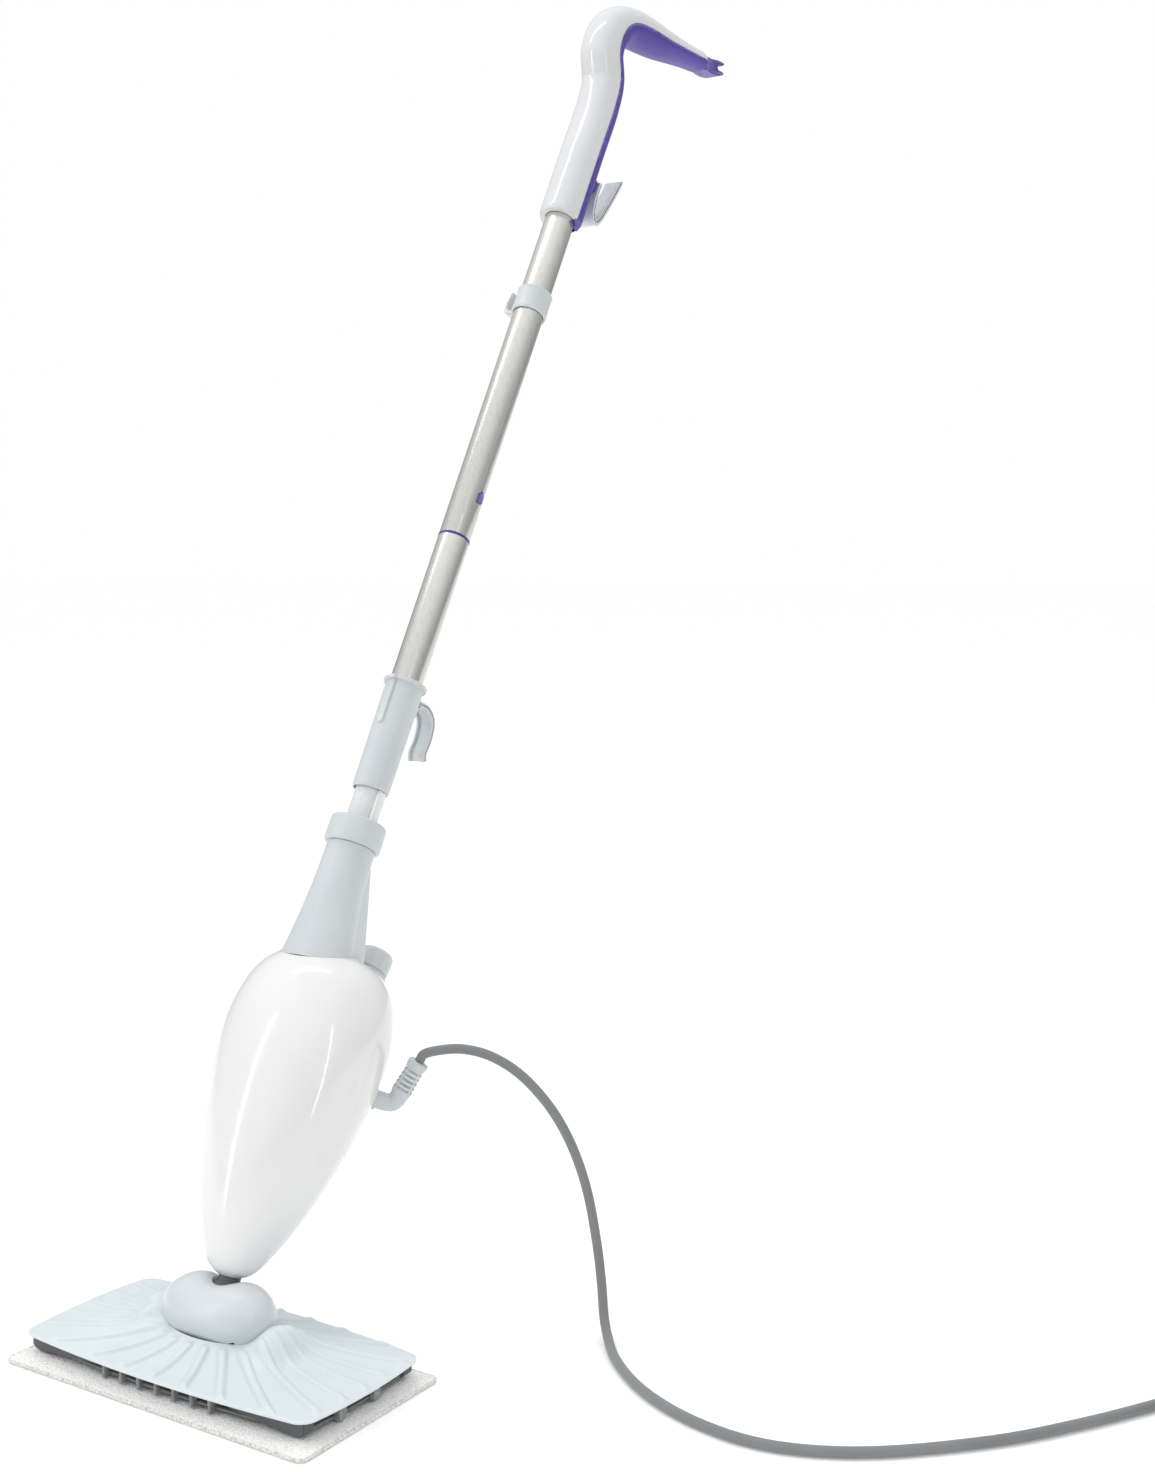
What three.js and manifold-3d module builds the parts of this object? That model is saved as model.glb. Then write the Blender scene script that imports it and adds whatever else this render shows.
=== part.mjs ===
// Steam mop: a leaning pole unit with a boiler body, on a swivelling and tilting mop head.
// Millimetres, +Z up. The floor is z = 0, the front of the mop is -Y and the user stands at +Y.
import * as THREE from 'three';
import { mergeVertices } from 'three/addons/utils/BufferGeometryUtils.js';
import Module from 'manifold-3d';

const wasm = await Module();
wasm.setup();

// Driving dimensions
const gap = 0.3;                  // between pieces that touch
const runningFit = 0.4;           // radial play of pieces that slide or turn
const lean = THREE.MathUtils.degToRad(29.5);   // pole from the vertical
const pivotHeight = 43;           // tilt axis above the floor
const poleOffset = 22;            // pole axis in front of the swivel axis

const pad = { width: 278, depth: 144, thickness: 6, corner: 12 };
const strip = { width: 210, depth: 18, thickness: 1, y: 30 };
const cover = { width: 272, depth: 135, endBow: 3, sideBow: 6, corner: 13, rim: 18.5, wall: 2.2, hub: 33 };
const base = { inset: 9, plate: 2.6, wall: 3, finCount: 7, finPitch: 16.5, finWidth: 2.2, finDepth: 8 };
const barrel = { length: 93, radius: 27.5 };
const bearing = { x: 25.5, width: 9, radius: 8, screw: 1.6 };
const pin = { radius: 3.5, length: 24 };
const nozzle = { radius: 9, bore: 3, height: 8 };
const neckJoint = { radius: 11, depth: 12, stem: 8, top: 22.8 };
const tiltUp = 30;                // degrees from rest to the upright pole
const tiltDown = 45;              // degrees from rest to the low pole

const tube = { radius: 12.7, wall: 1 };
const innerTube = { radius: tube.radius - tube.wall - runningFit, bottom: 337, top: 500, wall: 2 };
const body = { width: 132, depth: 108, bottom: 21.6, top: 261, centre: -2.5, wall: 2.4, seam: 0.55 };
const neck = {
  bottom: 250, top: 341.3, baseHalfX: 31, baseHalfY: 22.5, topRadius: innerTube.radius + 7.2, wall: 2.2, shift: 3,
};
const gusset = { bottom: 256, top: 331, rearBase: 15, rearTop: -2, halfBase: 13, halfTop: 5 };
const collar = { radius: neck.topRadius + 3.3, height: 20.4 };
const tank = { bottom: 150, top: 237, share: 0.78, wall: 2 };
const cap = { y: 41, z: 258, tilt: 12, radius: 13, height: 17, ribs: 12, thread: 8.6 };
const spout = { radius: 8, bore: 6.2, length: 30 };
const boiler = { width: 44, depth: 36, bottom: 62, height: 60 };
const element = { radius: 3.3, spread: 12, length: 46 };
const pump = { radius: 9, bore: 7.5, bottom: 254, height: 52, rod: 3.5, stroke: 20 };
const valve = { radius: 5, bore: 1.5, height: 12, port: 246.5 };
const spring = { wire: 1.3, radius: 6.6, turns: 5 };

const key = { width: 8, height: 2.6 };
const sleeve = {
  bottom: 387.6, top: 478.6, radius: tube.radius + 2.2, flange: tube.radius + 4.5, flangeHeight: 3,
};
const tongue = { width: 5.2, height: 1.3, length: 40 };
const lowerTube = { bottom: 392, top: 606.6 };
const coupler = { ring: 1.4, radius: tube.radius + 0.3, spigot: 32, spigotTop: 82, wall: 2 };
const button = { z: 646, width: 6, height: 11, proud: 1.3, travel: 2 };
const clipRing = { bottom: 822, height: 22, radius: tube.radius + 1.9 };
const handle = { bottom: 920, stemRadius: tube.radius + 5.6, riseStart: 1058, rise: 34, bend: 30, grip: 142 };
const grip = { width: 36, height: 33, endWidth: 25, endHeight: 19, wall: 2.6, tubeDepth: 70 };
const hookBoss = { z: 975, radius: 8, height: 8 };

const cord = { radius: 3.6, sides: 8 };
const coil = { x: 642, y: 323, inner: 28.6, outer: 57.8, height: 29.4 };
const plug = { width: 26, height: 18, length: 34, relief: 26, pinLength: 17 };

// ---- materials ----
const material = (color, roughness, metalness = 0) =>
  new THREE.MeshStandardMaterial({ color, roughness, metalness });
const whiteGloss = material('#f4f4f4', 0.18);
const lightGrey = material('#d3d9dc', 0.38);
const coverGrey = material('#dfe6e9', 0.4);
const darkGrey = material('#6b6b6b', 0.6);
const purple = material('#5b459b', 0.42);
const steel = material('#d8d8d4', 0.28, 1);
const towel = material('#f6f6f4', 0.95);
const clearPlastic = material('#e8eef0', 0.25);
const aluminium = material('#b9bcc0', 0.45, 1);
const brass = material('#b9963f', 0.35, 1);
const silicone = material('#e4e2da', 0.6);
const blackRubber = material('#2b2b2d', 0.7);
const cordGrey = material('#858585', 0.55);
const fuzzyBlack = material('#3a3a3c', 0.95);

// ---- solids and meshes ----
function toSolid(geometry) {
  const bare = new THREE.BufferGeometry();
  bare.setAttribute('position', geometry.attributes.position.clone());
  if (geometry.index) bare.setIndex(geometry.index.clone());
  const merged = mergeVertices(bare, 1e-4);
  return new wasm.Manifold(new wasm.Mesh({
    numProp: 3,
    vertProperties: new Float32Array(merged.attributes.position.array),
    triVerts: new Uint32Array(merged.index.array),
  }));
}

function toGeometry(solid) {
  const mesh = solid.getMesh();
  const geometry = new THREE.BufferGeometry();
  geometry.setAttribute('position', new THREE.BufferAttribute(mesh.vertProperties, 3));
  geometry.setIndex(new THREE.BufferAttribute(mesh.triVerts, 1));
  geometry.computeVertexNormals();
  return geometry;
}

function piece(name, solid, finish) {
  const mesh = new THREE.Mesh(toGeometry(solid), finish);
  mesh.name = name;
  return mesh;
}

const join = (solids) => solids.reduce((whole, next) => whole.add(next));

function block(width, depth, height, x = 0, y = 0, z = 0) {
  return toSolid(new THREE.BoxGeometry(width, depth, height).translate(x, y, z + height / 2));
}

// A lathe about Z; the profile is [radius, z] pairs from the axis round to the axis.
function turned(profile, sides = 20) {
  const points = profile.map(([radius, z]) => new THREE.Vector2(radius, z));
  return toSolid(new THREE.LatheGeometry(points, sides).rotateX(Math.PI / 2));
}

function rod(radius, bottom, top, sides = 20) {
  return turned([[0, bottom], [radius, bottom], [radius, top], [0, top]], sides);
}

function ring(outer, inner, bottom, top, sides = 20) {
  return turned([[inner, bottom], [outer, bottom], [outer, top], [inner, top], [inner, bottom]], sides);
}

// Puts a solid modelled along Z onto the X axis.
const alongX = (solid) => solid.rotate([0, 90, 0]);

// Extrudes a closed outline of [x, y] pairs upwards.
function prism(outline, height, z = 0) {
  const shape = new THREE.Shape(outline.map(([x, y]) => new THREE.Vector2(x, y)));
  return toSolid(new THREE.ExtrudeGeometry(shape, { depth: height, bevelEnabled: false }).translate(0, 0, z));
}

// Extrudes a closed outline of [y, z] pairs along X, centred on x.
function sidePrism(outline, width, x = 0) {
  return prism(outline, width, -width / 2).rotate([90, 0, 90]).translate([x, 0, 0]);
}

// A round bar along a smooth path.
function bar(points, radius, sides = 8, steps = 24) {
  const path = new THREE.CatmullRomCurve3(points.map((p) => new THREE.Vector3(...p)), false, 'centripetal');
  const section = new THREE.Shape();
  for (let i = 0; i < sides; i += 1) {
    const angle = (i / sides) * 2 * Math.PI;
    const spot = [radius * Math.cos(angle), radius * Math.sin(angle)];
    if (i === 0) section.moveTo(...spot);
    else section.lineTo(...spot);
  }
  return toSolid(new THREE.ExtrudeGeometry(section, { steps, extrudePath: path, bevelEnabled: false }));
}

// A closed skin over rings of equal length; each ring is a list of [x, y, z], the first one lowest.
function loft(rings) {
  const count = rings[0].length;
  const positions = rings.flat(2);
  const middle = (points) => [0, 1, 2].map((axis) => points.reduce((sum, p) => sum + p[axis], 0) / count);
  positions.push(...middle(rings[0]), ...middle(rings[rings.length - 1]));
  const first = rings.length * count;
  const index = [];
  for (let r = 0; r < rings.length - 1; r += 1) {
    for (let i = 0; i < count; i += 1) {
      const a = r * count + i;
      const b = r * count + ((i + 1) % count);
      index.push(a, b, b + count, a, b + count, a + count);
    }
  }
  for (let i = 0; i < count; i += 1) {
    const next = (i + 1) % count;
    const last = (rings.length - 1) * count;
    index.push(first, next, i, first + 1, last + i, last + next);
  }
  const geometry = new THREE.BufferGeometry();
  geometry.setAttribute('position', new THREE.Float32BufferAttribute(positions, 3));
  geometry.setIndex(index);
  return toSolid(geometry);
}

// A rounded section: a superellipse in its own plane, as [across, along] pairs.
function roundedSection(halfAcross, halfAlong, power, sides) {
  const points = [];
  for (let i = 0; i < sides; i += 1) {
    const angle = (i / sides) * 2 * Math.PI;
    const c = Math.cos(angle);
    const s = Math.sin(angle);
    points.push([
      halfAcross * Math.sign(c) * Math.abs(c) ** (2 / power),
      halfAlong * Math.sign(s) * Math.abs(s) ** (2 / power),
    ]);
  }
  return points;
}

function levelRing(halfX, halfY, y, z, power = 2, sides = 24) {
  return roundedSection(halfX, halfY, power, sides).map(([px, py]) => [px, py + y, z]);
}

// ---- mop head ----
// A rectangle with bowed sides and rounded corners, as [x, y] pairs.
function bowedOutline(inset) {
  const halfX = cover.width / 2 - inset;
  const halfY = cover.depth / 2 - inset;
  const radius = Math.max(cover.corner - inset, 3);
  const points = [];
  for (let corner = 0; corner < 4; corner += 1) {
    const signX = corner === 0 || corner === 3 ? 1 : -1;
    const signY = corner < 2 ? 1 : -1;
    for (let i = 0; i <= 2; i += 1) {
      const angle = (corner + i / 2) * (Math.PI / 2);
      points.push([
        signX * (halfX - cover.endBow - radius) + radius * Math.cos(angle),
        signY * (halfY - cover.sideBow - radius) + radius * Math.sin(angle),
      ]);
    }
    const from = points[points.length - 1];
    const steps = corner % 2 === 0 ? 6 : 3;
    for (let i = 1; i < steps; i += 1) {
      const t = i / steps;
      const bulge = 4 * t * (1 - t);
      if (corner % 2 === 0) points.push([from[0] * (1 - 2 * t), from[1] + signY * cover.sideBow * bulge]);
      else points.push([from[0] + signX * cover.endBow * bulge, from[1] * (1 - 2 * t)]);
    }
  }
  return points;
}

function mopPad() {
  const { width, depth, thickness, corner } = pad;
  const outline = roundedSection(1, 1, 2, 16).map(([x, y]) => [
    x * corner + Math.sign(Math.round(x * 1e6) || 1) * (width / 2 - corner),
    y * corner + Math.sign(Math.round(y * 1e6) || 1) * (depth / 2 - corner),
  ]);
  return piece('mop_pad', prism(outline, thickness), towel);
}

const stripBottom = pad.thickness + gap;
const plateBottom = stripBottom + strip.thickness + gap;
const plateTop = plateBottom + base.plate;
const coverUnder = cover.rim - gap;

function basePlate() {
  const edge = bowedOutline(base.inset);
  const wallHeight = coverUnder - stripBottom;
  const plate = prism(edge, base.plate, plateBottom);
  const rimWall = prism(edge, wallHeight, stripBottom)
    .subtract(prism(bowedOutline(base.inset + base.wall), wallHeight + 2, stripBottom - 1));
  const finSpan = (base.finCount - 1) * base.finPitch + base.finWidth;
  const backWall = prism(bowedOutline(base.inset + 7), coverUnder - plateTop, plateTop)
    .subtract(prism(bowedOutline(base.inset + 7 + base.wall), wallHeight, plateTop - 1))
    .intersect(block(finSpan, cover.depth * 2, wallHeight, 0, 0, stripBottom));
  const openings = join([
    block(finSpan + 10, cover.depth * 2, wallHeight + 2, 0, 0, stripBottom - 1),
    block(cover.width * 2, cover.depth * 0.5, wallHeight + 2, 0, 0, stripBottom - 1),
  ]);
  const fins = [];
  const frontY = cover.depth / 2 - base.inset;
  for (let i = 0; i < base.finCount; i += 1) {
    const x = (i - (base.finCount - 1) / 2) * base.finPitch;
    for (const side of [-1, 1]) {
      const y = side * (frontY - base.finDepth / 2 - 0.6);
      fins.push(block(base.finWidth, base.finDepth, wallHeight, x, y, stripBottom));
    }
  }
  const endX = cover.width / 2 - base.inset;
  for (const x of [-1, 1]) {
    for (const y of [-18, 18]) {
      fins.push(block(9, 4, wallHeight, x * (endX - 5), y, stripBottom));
    }
  }
  const holes = [rod(nozzle.radius + gap, 0, plateTop + 1)];
  for (const x of [-bearing.x, bearing.x]) {
    holes.push(rod(bearing.screw + gap, 0, plateTop + 1, 16).translate([x, 0, 0]));
    holes.push(rod(bearing.screw * 2 + gap, 0, plateBottom + 1.5, 16).translate([x, 0, 0]));
  }
  const reliefs = join([-1, 1].map((side) =>
    block(strip.width + 2, strip.depth + 2, stripBottom + strip.thickness + gap, 0, side * strip.y, 0)));
  const solid = join([plate, rimWall.subtract(openings), backWall, ...fins])
    .subtract(reliefs)
    .subtract(join(holes));
  return piece('base_plate', solid, darkGrey);
}

function gripStrips() {
  return [-1, 1].map((side) => piece(
    side < 0 ? 'grip_strip_front' : 'grip_strip_rear',
    block(strip.width, strip.depth, strip.thickness, 0, side * strip.y, stripBottom),
    fuzzyBlack,
  ));
}

function baseScrew(name, x) {
  const radius = bearing.screw;
  const headTop = plateBottom + 1.5 - gap;
  const solid = turned([
    [0, plateBottom - 0.5], [radius * 2, plateBottom - 0.5], [radius * 2, headTop],
    [radius, headTop], [radius, plateTop + 10], [0, plateTop + 11],
  ], 10);
  return piece(name, solid.translate([x, 0, 0]), steel);
}

function bearingBlock(name, x) {
  const { width, radius } = bearing;
  const foot = plateTop + gap;
  const post = block(width, radius * 2, pivotHeight - foot, x, 0, foot);
  const eye = alongX(rod(radius, -width / 2, width / 2, 12)).translate([x, 0, pivotHeight]);
  const bore = alongX(rod(pin.radius + 0.25, -width, width, 12)).translate([x, 0, pivotHeight]);
  const screwHole = rod(bearing.screw + 0.2, 0, plateTop + 12, 14).translate([x, 0, 0]);
  return piece(name, post.add(eye).subtract(bore).subtract(screwHole), darkGrey);
}

function pivotPin(name, x) {
  const solid = alongX(rod(pin.radius, -pin.length / 2, pin.length / 2, 12));
  return piece(name, solid.translate([x, 0, pivotHeight]), steel);
}

function steamNozzle() {
  const { radius, bore, height } = nozzle;
  const solid = turned([
    [bore, stripBottom], [radius - 1, stripBottom], [radius, plateTop], [radius - 3, plateTop + 1],
    [radius - 3, stripBottom + height], [bore, stripBottom + height], [bore, stripBottom],
  ], 24);
  return piece('steam_nozzle', solid, brass);
}

// The cover is a sheet that sweeps up from its rim to a collar round the barrel.
function headCover() {
  const outer = bowedOutline(0);
  const scale = Math.sqrt(1 - ((pivotHeight - cover.hub) / barrel.radius) ** 2);
  const openX = (barrel.length / 2) * scale + 2.4;
  const openY = barrel.radius * scale + 1.6;
  const levels = [0, 0.12, 0.3, 0.6, 1];
  const rise = cover.hub - cover.rim - cover.wall;
  const skin = (drop) => levels.map((t) => outer.map(([x, y]) => {
    const angle = Math.atan2(y / openY, x / openX);
    const lobe = 5 * Math.max(0, Math.cos(angle) ** 2 - 0.6) * (1 - t) ** 3;
    const height = cover.rim + cover.wall + rise * (1 - t) ** 2.4 + lobe;
    const px = openX * Math.cos(angle) * (1 - t) + x * t;
    const py = openY * Math.sin(angle) * (1 - t) + y * t;
    return [px, py, height - drop];
  }));
  const top = skin(0);
  const under = skin(cover.wall);
  const loop = [...under, ...top.reverse(), under[0]];
  const count = outer.length;
  const positions = loop.slice(0, -1).flat(2);
  const index = [];
  const rows = loop.length - 1;
  for (let r = 0; r < rows; r += 1) {
    for (let i = 0; i < count; i += 1) {
      const a = r * count + i;
      const b = r * count + ((i + 1) % count);
      const c = ((r + 1) % rows) * count + ((i + 1) % count);
      const d = ((r + 1) % rows) * count + i;
      index.push(a, b, c, a, c, d);
    }
  }
  const geometry = new THREE.BufferGeometry();
  geometry.setAttribute('position', new THREE.Float32BufferAttribute(positions, 3));
  geometry.setIndex(index);
  return piece('head_cover', toSolid(geometry), coverGrey);
}

// ---- swivel barrel, in the unit's frame: y to the rear, z up the pole ----
function bearingSlot(x) {
  const reach = barrel.length;
  const half = bearing.radius + 0.7;
  const direction = (angle) => [Math.sin(angle), -Math.cos(angle)];
  const from = -THREE.MathUtils.degToRad(6);
  const to = THREE.MathUtils.degToRad(tiltUp + tiltDown + 6);
  const [fromY, fromZ] = direction(from);
  const [toY, toZ] = direction(to);
  const outline = [[0, 0], [-half * Math.cos(from), -half * Math.sin(from)]];
  outline.push([outline[1][0] + reach * fromY, outline[1][1] + reach * fromZ]);
  for (let i = 1; i < 4; i += 1) {
    const [y, z] = direction(from + ((to - from) * i) / 4);
    outline.push([y * reach, z * reach]);
  }
  const edge = [half * Math.cos(to), half * Math.sin(to)];
  outline.push([edge[0] + reach * toY, edge[1] + reach * toZ], edge);
  const eye = alongX(rod(half, -bearing.width / 2 - 0.6, bearing.width / 2 + 0.6, 12)).translate([x, 0, 0]);
  return sidePrism(outline, bearing.width + 1.2, x).add(eye);
}

function swivelBarrel() {
  const half = barrel.length / 2;
  const profile = [];
  for (let i = 0; i <= 10; i += 1) {
    const angle = (i / 10) * Math.PI;
    profile.push([Math.max(0, barrel.radius * Math.sin(angle)), -half * Math.cos(angle)]);
  }
  profile[0][0] = 0;
  profile[10][0] = 0;
  const dome = alongX(turned(profile, 22));
  const saddle = turned([[0, 19], [14, 20.4], [24, 24.8], [38, 38], [38, 60], [0, 60]], 20);
  const bore = rod(neckJoint.radius + runningFit, -neckJoint.depth - runningFit, 40, 20);
  const pins = [-bearing.x, bearing.x].map((x) =>
    alongX(rod(pin.radius + runningFit, -pin.length / 2 - 0.5, pin.length / 2 + 0.5, 12)).translate([x, 0, 0]));
  const slots = [-bearing.x, bearing.x].map(bearingSlot);
  return piece('swivel_barrel', dome.subtract(join([saddle, bore, ...pins, ...slots])), lightGrey);
}

// ---- boiler body ----
// Half-width of the body at a height, from the narrow foot to the shoulder under the neck.
const bodyCurve = new THREE.SplineCurve([
  [0, 0], [0.25, 0.032], [0.42, 0.1], [0.63, 0.23], [0.85, 0.42], [0.975, 0.6],
  [1, 0.73], [0.945, 0.83], [0.83, 0.915], [0.64, 0.972], [0.42, 1],
].map(([share, height]) => new THREE.Vector2(share, height)));

function bodyShareAt(height) {
  let low = 0;
  let high = 1;
  for (let i = 0; i < 24; i += 1) {
    const middle = (low + high) / 2;
    if (bodyCurve.getPoint(middle).y < height) low = middle;
    else high = middle;
  }
  return bodyCurve.getPoint((low + high) / 2).x;
}

const bodyHeight = body.top - body.bottom;
const bodyHalfAt = (z) => bodyShareAt((z - body.bottom) / bodyHeight);

function bodyForm(inset, bottom, top, rows = 12, sides = 24) {
  const rings = [];
  for (let i = 0; i <= rows; i += 1) {
    const t = (1 - Math.cos((i / rows) * Math.PI)) / 2;
    const z = bottom + (top - bottom) * t;
    const share = Math.max(bodyHalfAt(z), 0.06);
    const halfX = Math.max((body.width / 2) * share - inset, 1.5);
    const halfY = Math.max((body.depth / 2) * share - inset, 1.5);
    rings.push(levelRing(halfX, halfY, body.centre, z, 2.1, sides));
  }
  return loft(rings);
}

// Everything behind the line where the rear shell meets the front shell.
function behindSeam(shift) {
  const outline = [];
  for (let i = 0; i <= 8; i += 1) {
    const z = body.bottom - 5 + (bodyHeight + 20) * (i / 8);
    const inside = THREE.MathUtils.clamp(z, body.bottom + 2, body.top - 2);
    outline.push([body.centre + body.seam * (body.depth / 2) * bodyHalfAt(inside) + shift, z]);
  }
  outline.push([body.depth * 2, body.top + 15], [body.depth * 2, body.bottom - 5]);
  return sidePrism(outline, body.width * 2);
}

const capFrame = (solid) => solid.rotate([-cap.tilt, 0, 0]).translate([0, cap.y, cap.z]);
const bodySide = body.width / 2;
const glandInside = [bodySide - 21.2, 27.3, 170.8];
const glandRoot = [bodySide - 19, 29, 171];
const glandElbow = [bodySide - 5, 40, 172];
const glandMiddle = [bodySide + 2, 38.5, 184];
const glandEnd = [bodySide + 11, 35, 203.5];
const glandRadius = 6.6;
const screwHeights = [60, 140];
const screw = { radius: 1.5, head: 3.4, headHeight: 2, length: 10, boss: 5.2, sink: 1.5 };

// The neck flares from the collar to the shoulder; reach carries it past both ends.
function neckForm(inset, reach) {
  const { bottom, top, baseHalfX, baseHalfY, topRadius, shift } = neck;
  const ringAt = (t, z) => {
    const flare = (1 - t) ** 2;
    const halfX = topRadius + (baseHalfX - topRadius) * flare - inset;
    const halfY = topRadius + (baseHalfY - topRadius) * flare - inset;
    return levelRing(halfX, halfY, -poleOffset + shift * flare, z, 2, 24);
  };
  const levels = [0, 0.12, 0.26, 0.42, 0.64, 1];
  const rings = levels.map((t) => ringAt(t, bottom + (top - bottom) * t));
  if (reach > 0) {
    rings.unshift(ringAt(0, bottom - reach));
    rings.push(ringAt(1, top + reach));
  }
  return loft(rings);
}

// A rib down the back of the neck; grow makes the opening it passes through.
function gussetForm(grow, bottom) {
  const lower = (bottom - gusset.bottom) / (gusset.top - gusset.bottom);
  const section = (half, rear, z) => [
    [-half - 4 - grow, -poleOffset, z], [half + 4 + grow, -poleOffset, z],
    [half + grow, rear - 5 + grow, z], [2.5 + grow, rear + grow, z],
    [-2.5 - grow, rear + grow, z], [-half - grow, rear - 5 + grow, z],
  ];
  const extend = (from, to) => from + (to - from) * lower;
  return loft([
    section(extend(gusset.halfBase, gusset.halfTop), extend(gusset.rearBase, gusset.rearTop), bottom),
    section(gusset.halfTop, gusset.rearTop, gusset.top),
  ]);
}

function bodyShells() {
  const wall = body.wall;
  const cavity = bodyForm(wall, body.bottom + wall, body.top - wall, 8, 18);
  const skin = bodyForm(0, body.bottom, body.top).subtract(cavity);
  const neckHole = neckForm(-gap, 10).add(gussetForm(gap, gusset.bottom - 10));
  const footHole = rod(neckJoint.stem + gap, 0, body.bottom + 20, 16);
  const footCut = block(60, 60, neckJoint.top + gap, 0, 0, 0);
  const spoutHole = capFrame(rod(spout.radius + gap, -spout.length - 4, 10, 16));
  const glandHole = bar([glandInside, glandRoot, glandElbow], glandRadius + runningFit + gap, 12, 6);
  const whole = skin.subtract(join([neckHole, footHole, footCut, spoutHole]));
  const rear = whole.intersect(behindSeam(gap / 2));
  const front = whole.subtract(behindSeam(-gap / 2));
  const bosses = [];
  const holes = [];
  const screws = [];
  screwHeights.forEach((z, index) => {
    const rearY = body.centre + (body.depth / 2) * bodyHalfAt(z);
    const toRear = (solid) => solid.rotate([-90, 0, 0]).translate([0, rearY - screw.sink, z]);
    bosses.push(toRear(rod(screw.boss, -screw.length + 1, 6, 12)));
    holes.push(toRear(rod(screw.radius + gap, -20, 10, 10).add(rod(screw.head + gap, 0, 20, 12))));
    const shaft = turned([
      [0, -screw.length], [screw.radius, -screw.length + 1], [screw.radius, gap], [screw.head, gap],
      [screw.head, screw.headHeight], [0, screw.headHeight + 0.4],
    ], 10);
    screws.push(piece(`shell_screw_${index + 1}`, toRear(shaft), steel));
  });
  const outside = bodyForm(0, body.bottom, body.top);
  const rearWithBosses = join([rear, join(bosses).intersect(outside).intersect(behindSeam(gap / 2))]);
  return [
    piece('front_shell', front.subtract(glandHole), whiteGloss),
    piece('rear_shell', rearWithBosses.subtract(glandHole).subtract(join(holes)), whiteGloss),
    ...screws,
  ];
}

function neckJointPiece() {
  const { radius, depth, stem, top } = neckJoint;
  const bore = rod(4, -depth - 1, 60, 12);
  const solid = join([rod(radius, -depth, top, 24), rod(stem, top - 1, top + 24, 16)]);
  return piece('neck_joint', solid.subtract(bore), darkGrey);
}

function neckCone() {
  const outer = neckForm(0, 0).add(gussetForm(0, gusset.bottom));
  const inner = neckForm(neck.wall, 1);
  return piece('neck_cone', outer.subtract(inner), lightGrey);
}

const collarBottom = neck.top + gap;
const collarTop = collarBottom + collar.height;

function neckCollar() {
  const { radius } = collar;
  const band = turned([
    [innerTube.radius + runningFit, collarBottom], [radius - 0.8, collarBottom], [radius, collarBottom + 0.8],
    [radius - 0.3, collarTop - 1], [radius - 1.3, collarTop], [innerTube.radius + runningFit, collarTop],
    [innerTube.radius + runningFit, collarBottom],
  ], 28);
  const slotX = innerTube.radius + key.height / 2;
  const slotWidth = key.width + 2 * runningFit;
  const slot = block(key.height + 3 * runningFit, slotWidth, collar.height + 2, slotX, 0, collarBottom - 1);
  return piece('neck_collar', band.subtract(slot).translate([0, -poleOffset, 0]), lightGrey);
}

function waterTank() {
  const rings = (inset, bottom, top) => {
    const list = [];
    for (let i = 0; i <= 4; i += 1) {
      const z = bottom + (top - bottom) * (i / 4);
      const share = tank.share * bodyHalfAt(z);
      list.push(levelRing((body.width / 2) * share - inset, (body.depth / 2) * share - inset, body.centre, z, 2.4, 16));
    }
    return loft(list);
  };
  const outer = rings(0, tank.bottom, tank.top);
  const inner = rings(tank.wall, tank.bottom + tank.wall, tank.top - tank.wall);
  const mouth = capFrame(rod(spout.radius + gap, -60, 10, 16));
  const outlet = rod(2.4 + gap, -10, 10, 10).translate([0, -poleOffset, tank.top]);
  return piece('water_tank', outer.subtract(join([inner, mouth, outlet])), clearPlastic);
}

function fillerNeck() {
  const { radius, bore, length } = spout;
  return piece('filler_neck', capFrame(ring(radius, bore, -length, 5, 16)), lightGrey);
}

function fillerCap() {
  const { radius, height, ribs, thread } = cap;
  const bodyOfCap = turned([
    [0, 0], [radius - 1, 0], [radius, 1], [radius, 2.6], [radius - 1.2, 3], [radius - 1.2, 4], [radius - 0.4, 4.4],
    [radius - 1, height - 1.5], [radius - 2.5, height], [0, height],
  ], 24);
  const grooves = [];
  for (let i = 0; i < ribs; i += 1) {
    const angle = (i / ribs) * 2 * Math.PI;
    grooves.push(rod(1.1, 5.4, height + 1, 4).translate([radius * Math.cos(angle), radius * Math.sin(angle), 0]));
  }
  const hollow = rod(thread, -1, 8, 16);
  return piece('filler_cap', capFrame(bodyOfCap.subtract(join(grooves)).subtract(hollow)), lightGrey);
}

function capSeal() {
  return piece('cap_seal', capFrame(ring(cap.thread - gap, 4.5, 5 + gap, 8 - gap, 16)), blackRubber);
}

function boilerBlock() {
  const { width, depth, bottom, height } = boiler;
  const rings = [[0.72, 0], [0.95, 4], [1, 10], [1, height - 8], [0.9, height - 2], [0.7, height]];
  const outer = loft(rings.map(([share, z]) =>
    levelRing((width / 2) * share, (depth / 2) * share, body.centre, bottom + z, 3.4, 16)));
  const inner = loft([[0.7, 6], [0.82, 12], [0.82, height - 12], [0.6, height - 6]].map(([share, z]) =>
    levelRing((width / 2) * share, (depth / 2) * share, body.centre, bottom + z, 3, 12)));
  const inlet = rod(2.2, height - 8, height + 1, 12).translate([8, body.centre, bottom]);
  const outlet = rod(2.2, -1, 8, 12).translate([0, body.centre, bottom]);
  return piece('boiler', outer.subtract(join([inner, inlet, outlet])), aluminium);
}

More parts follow.
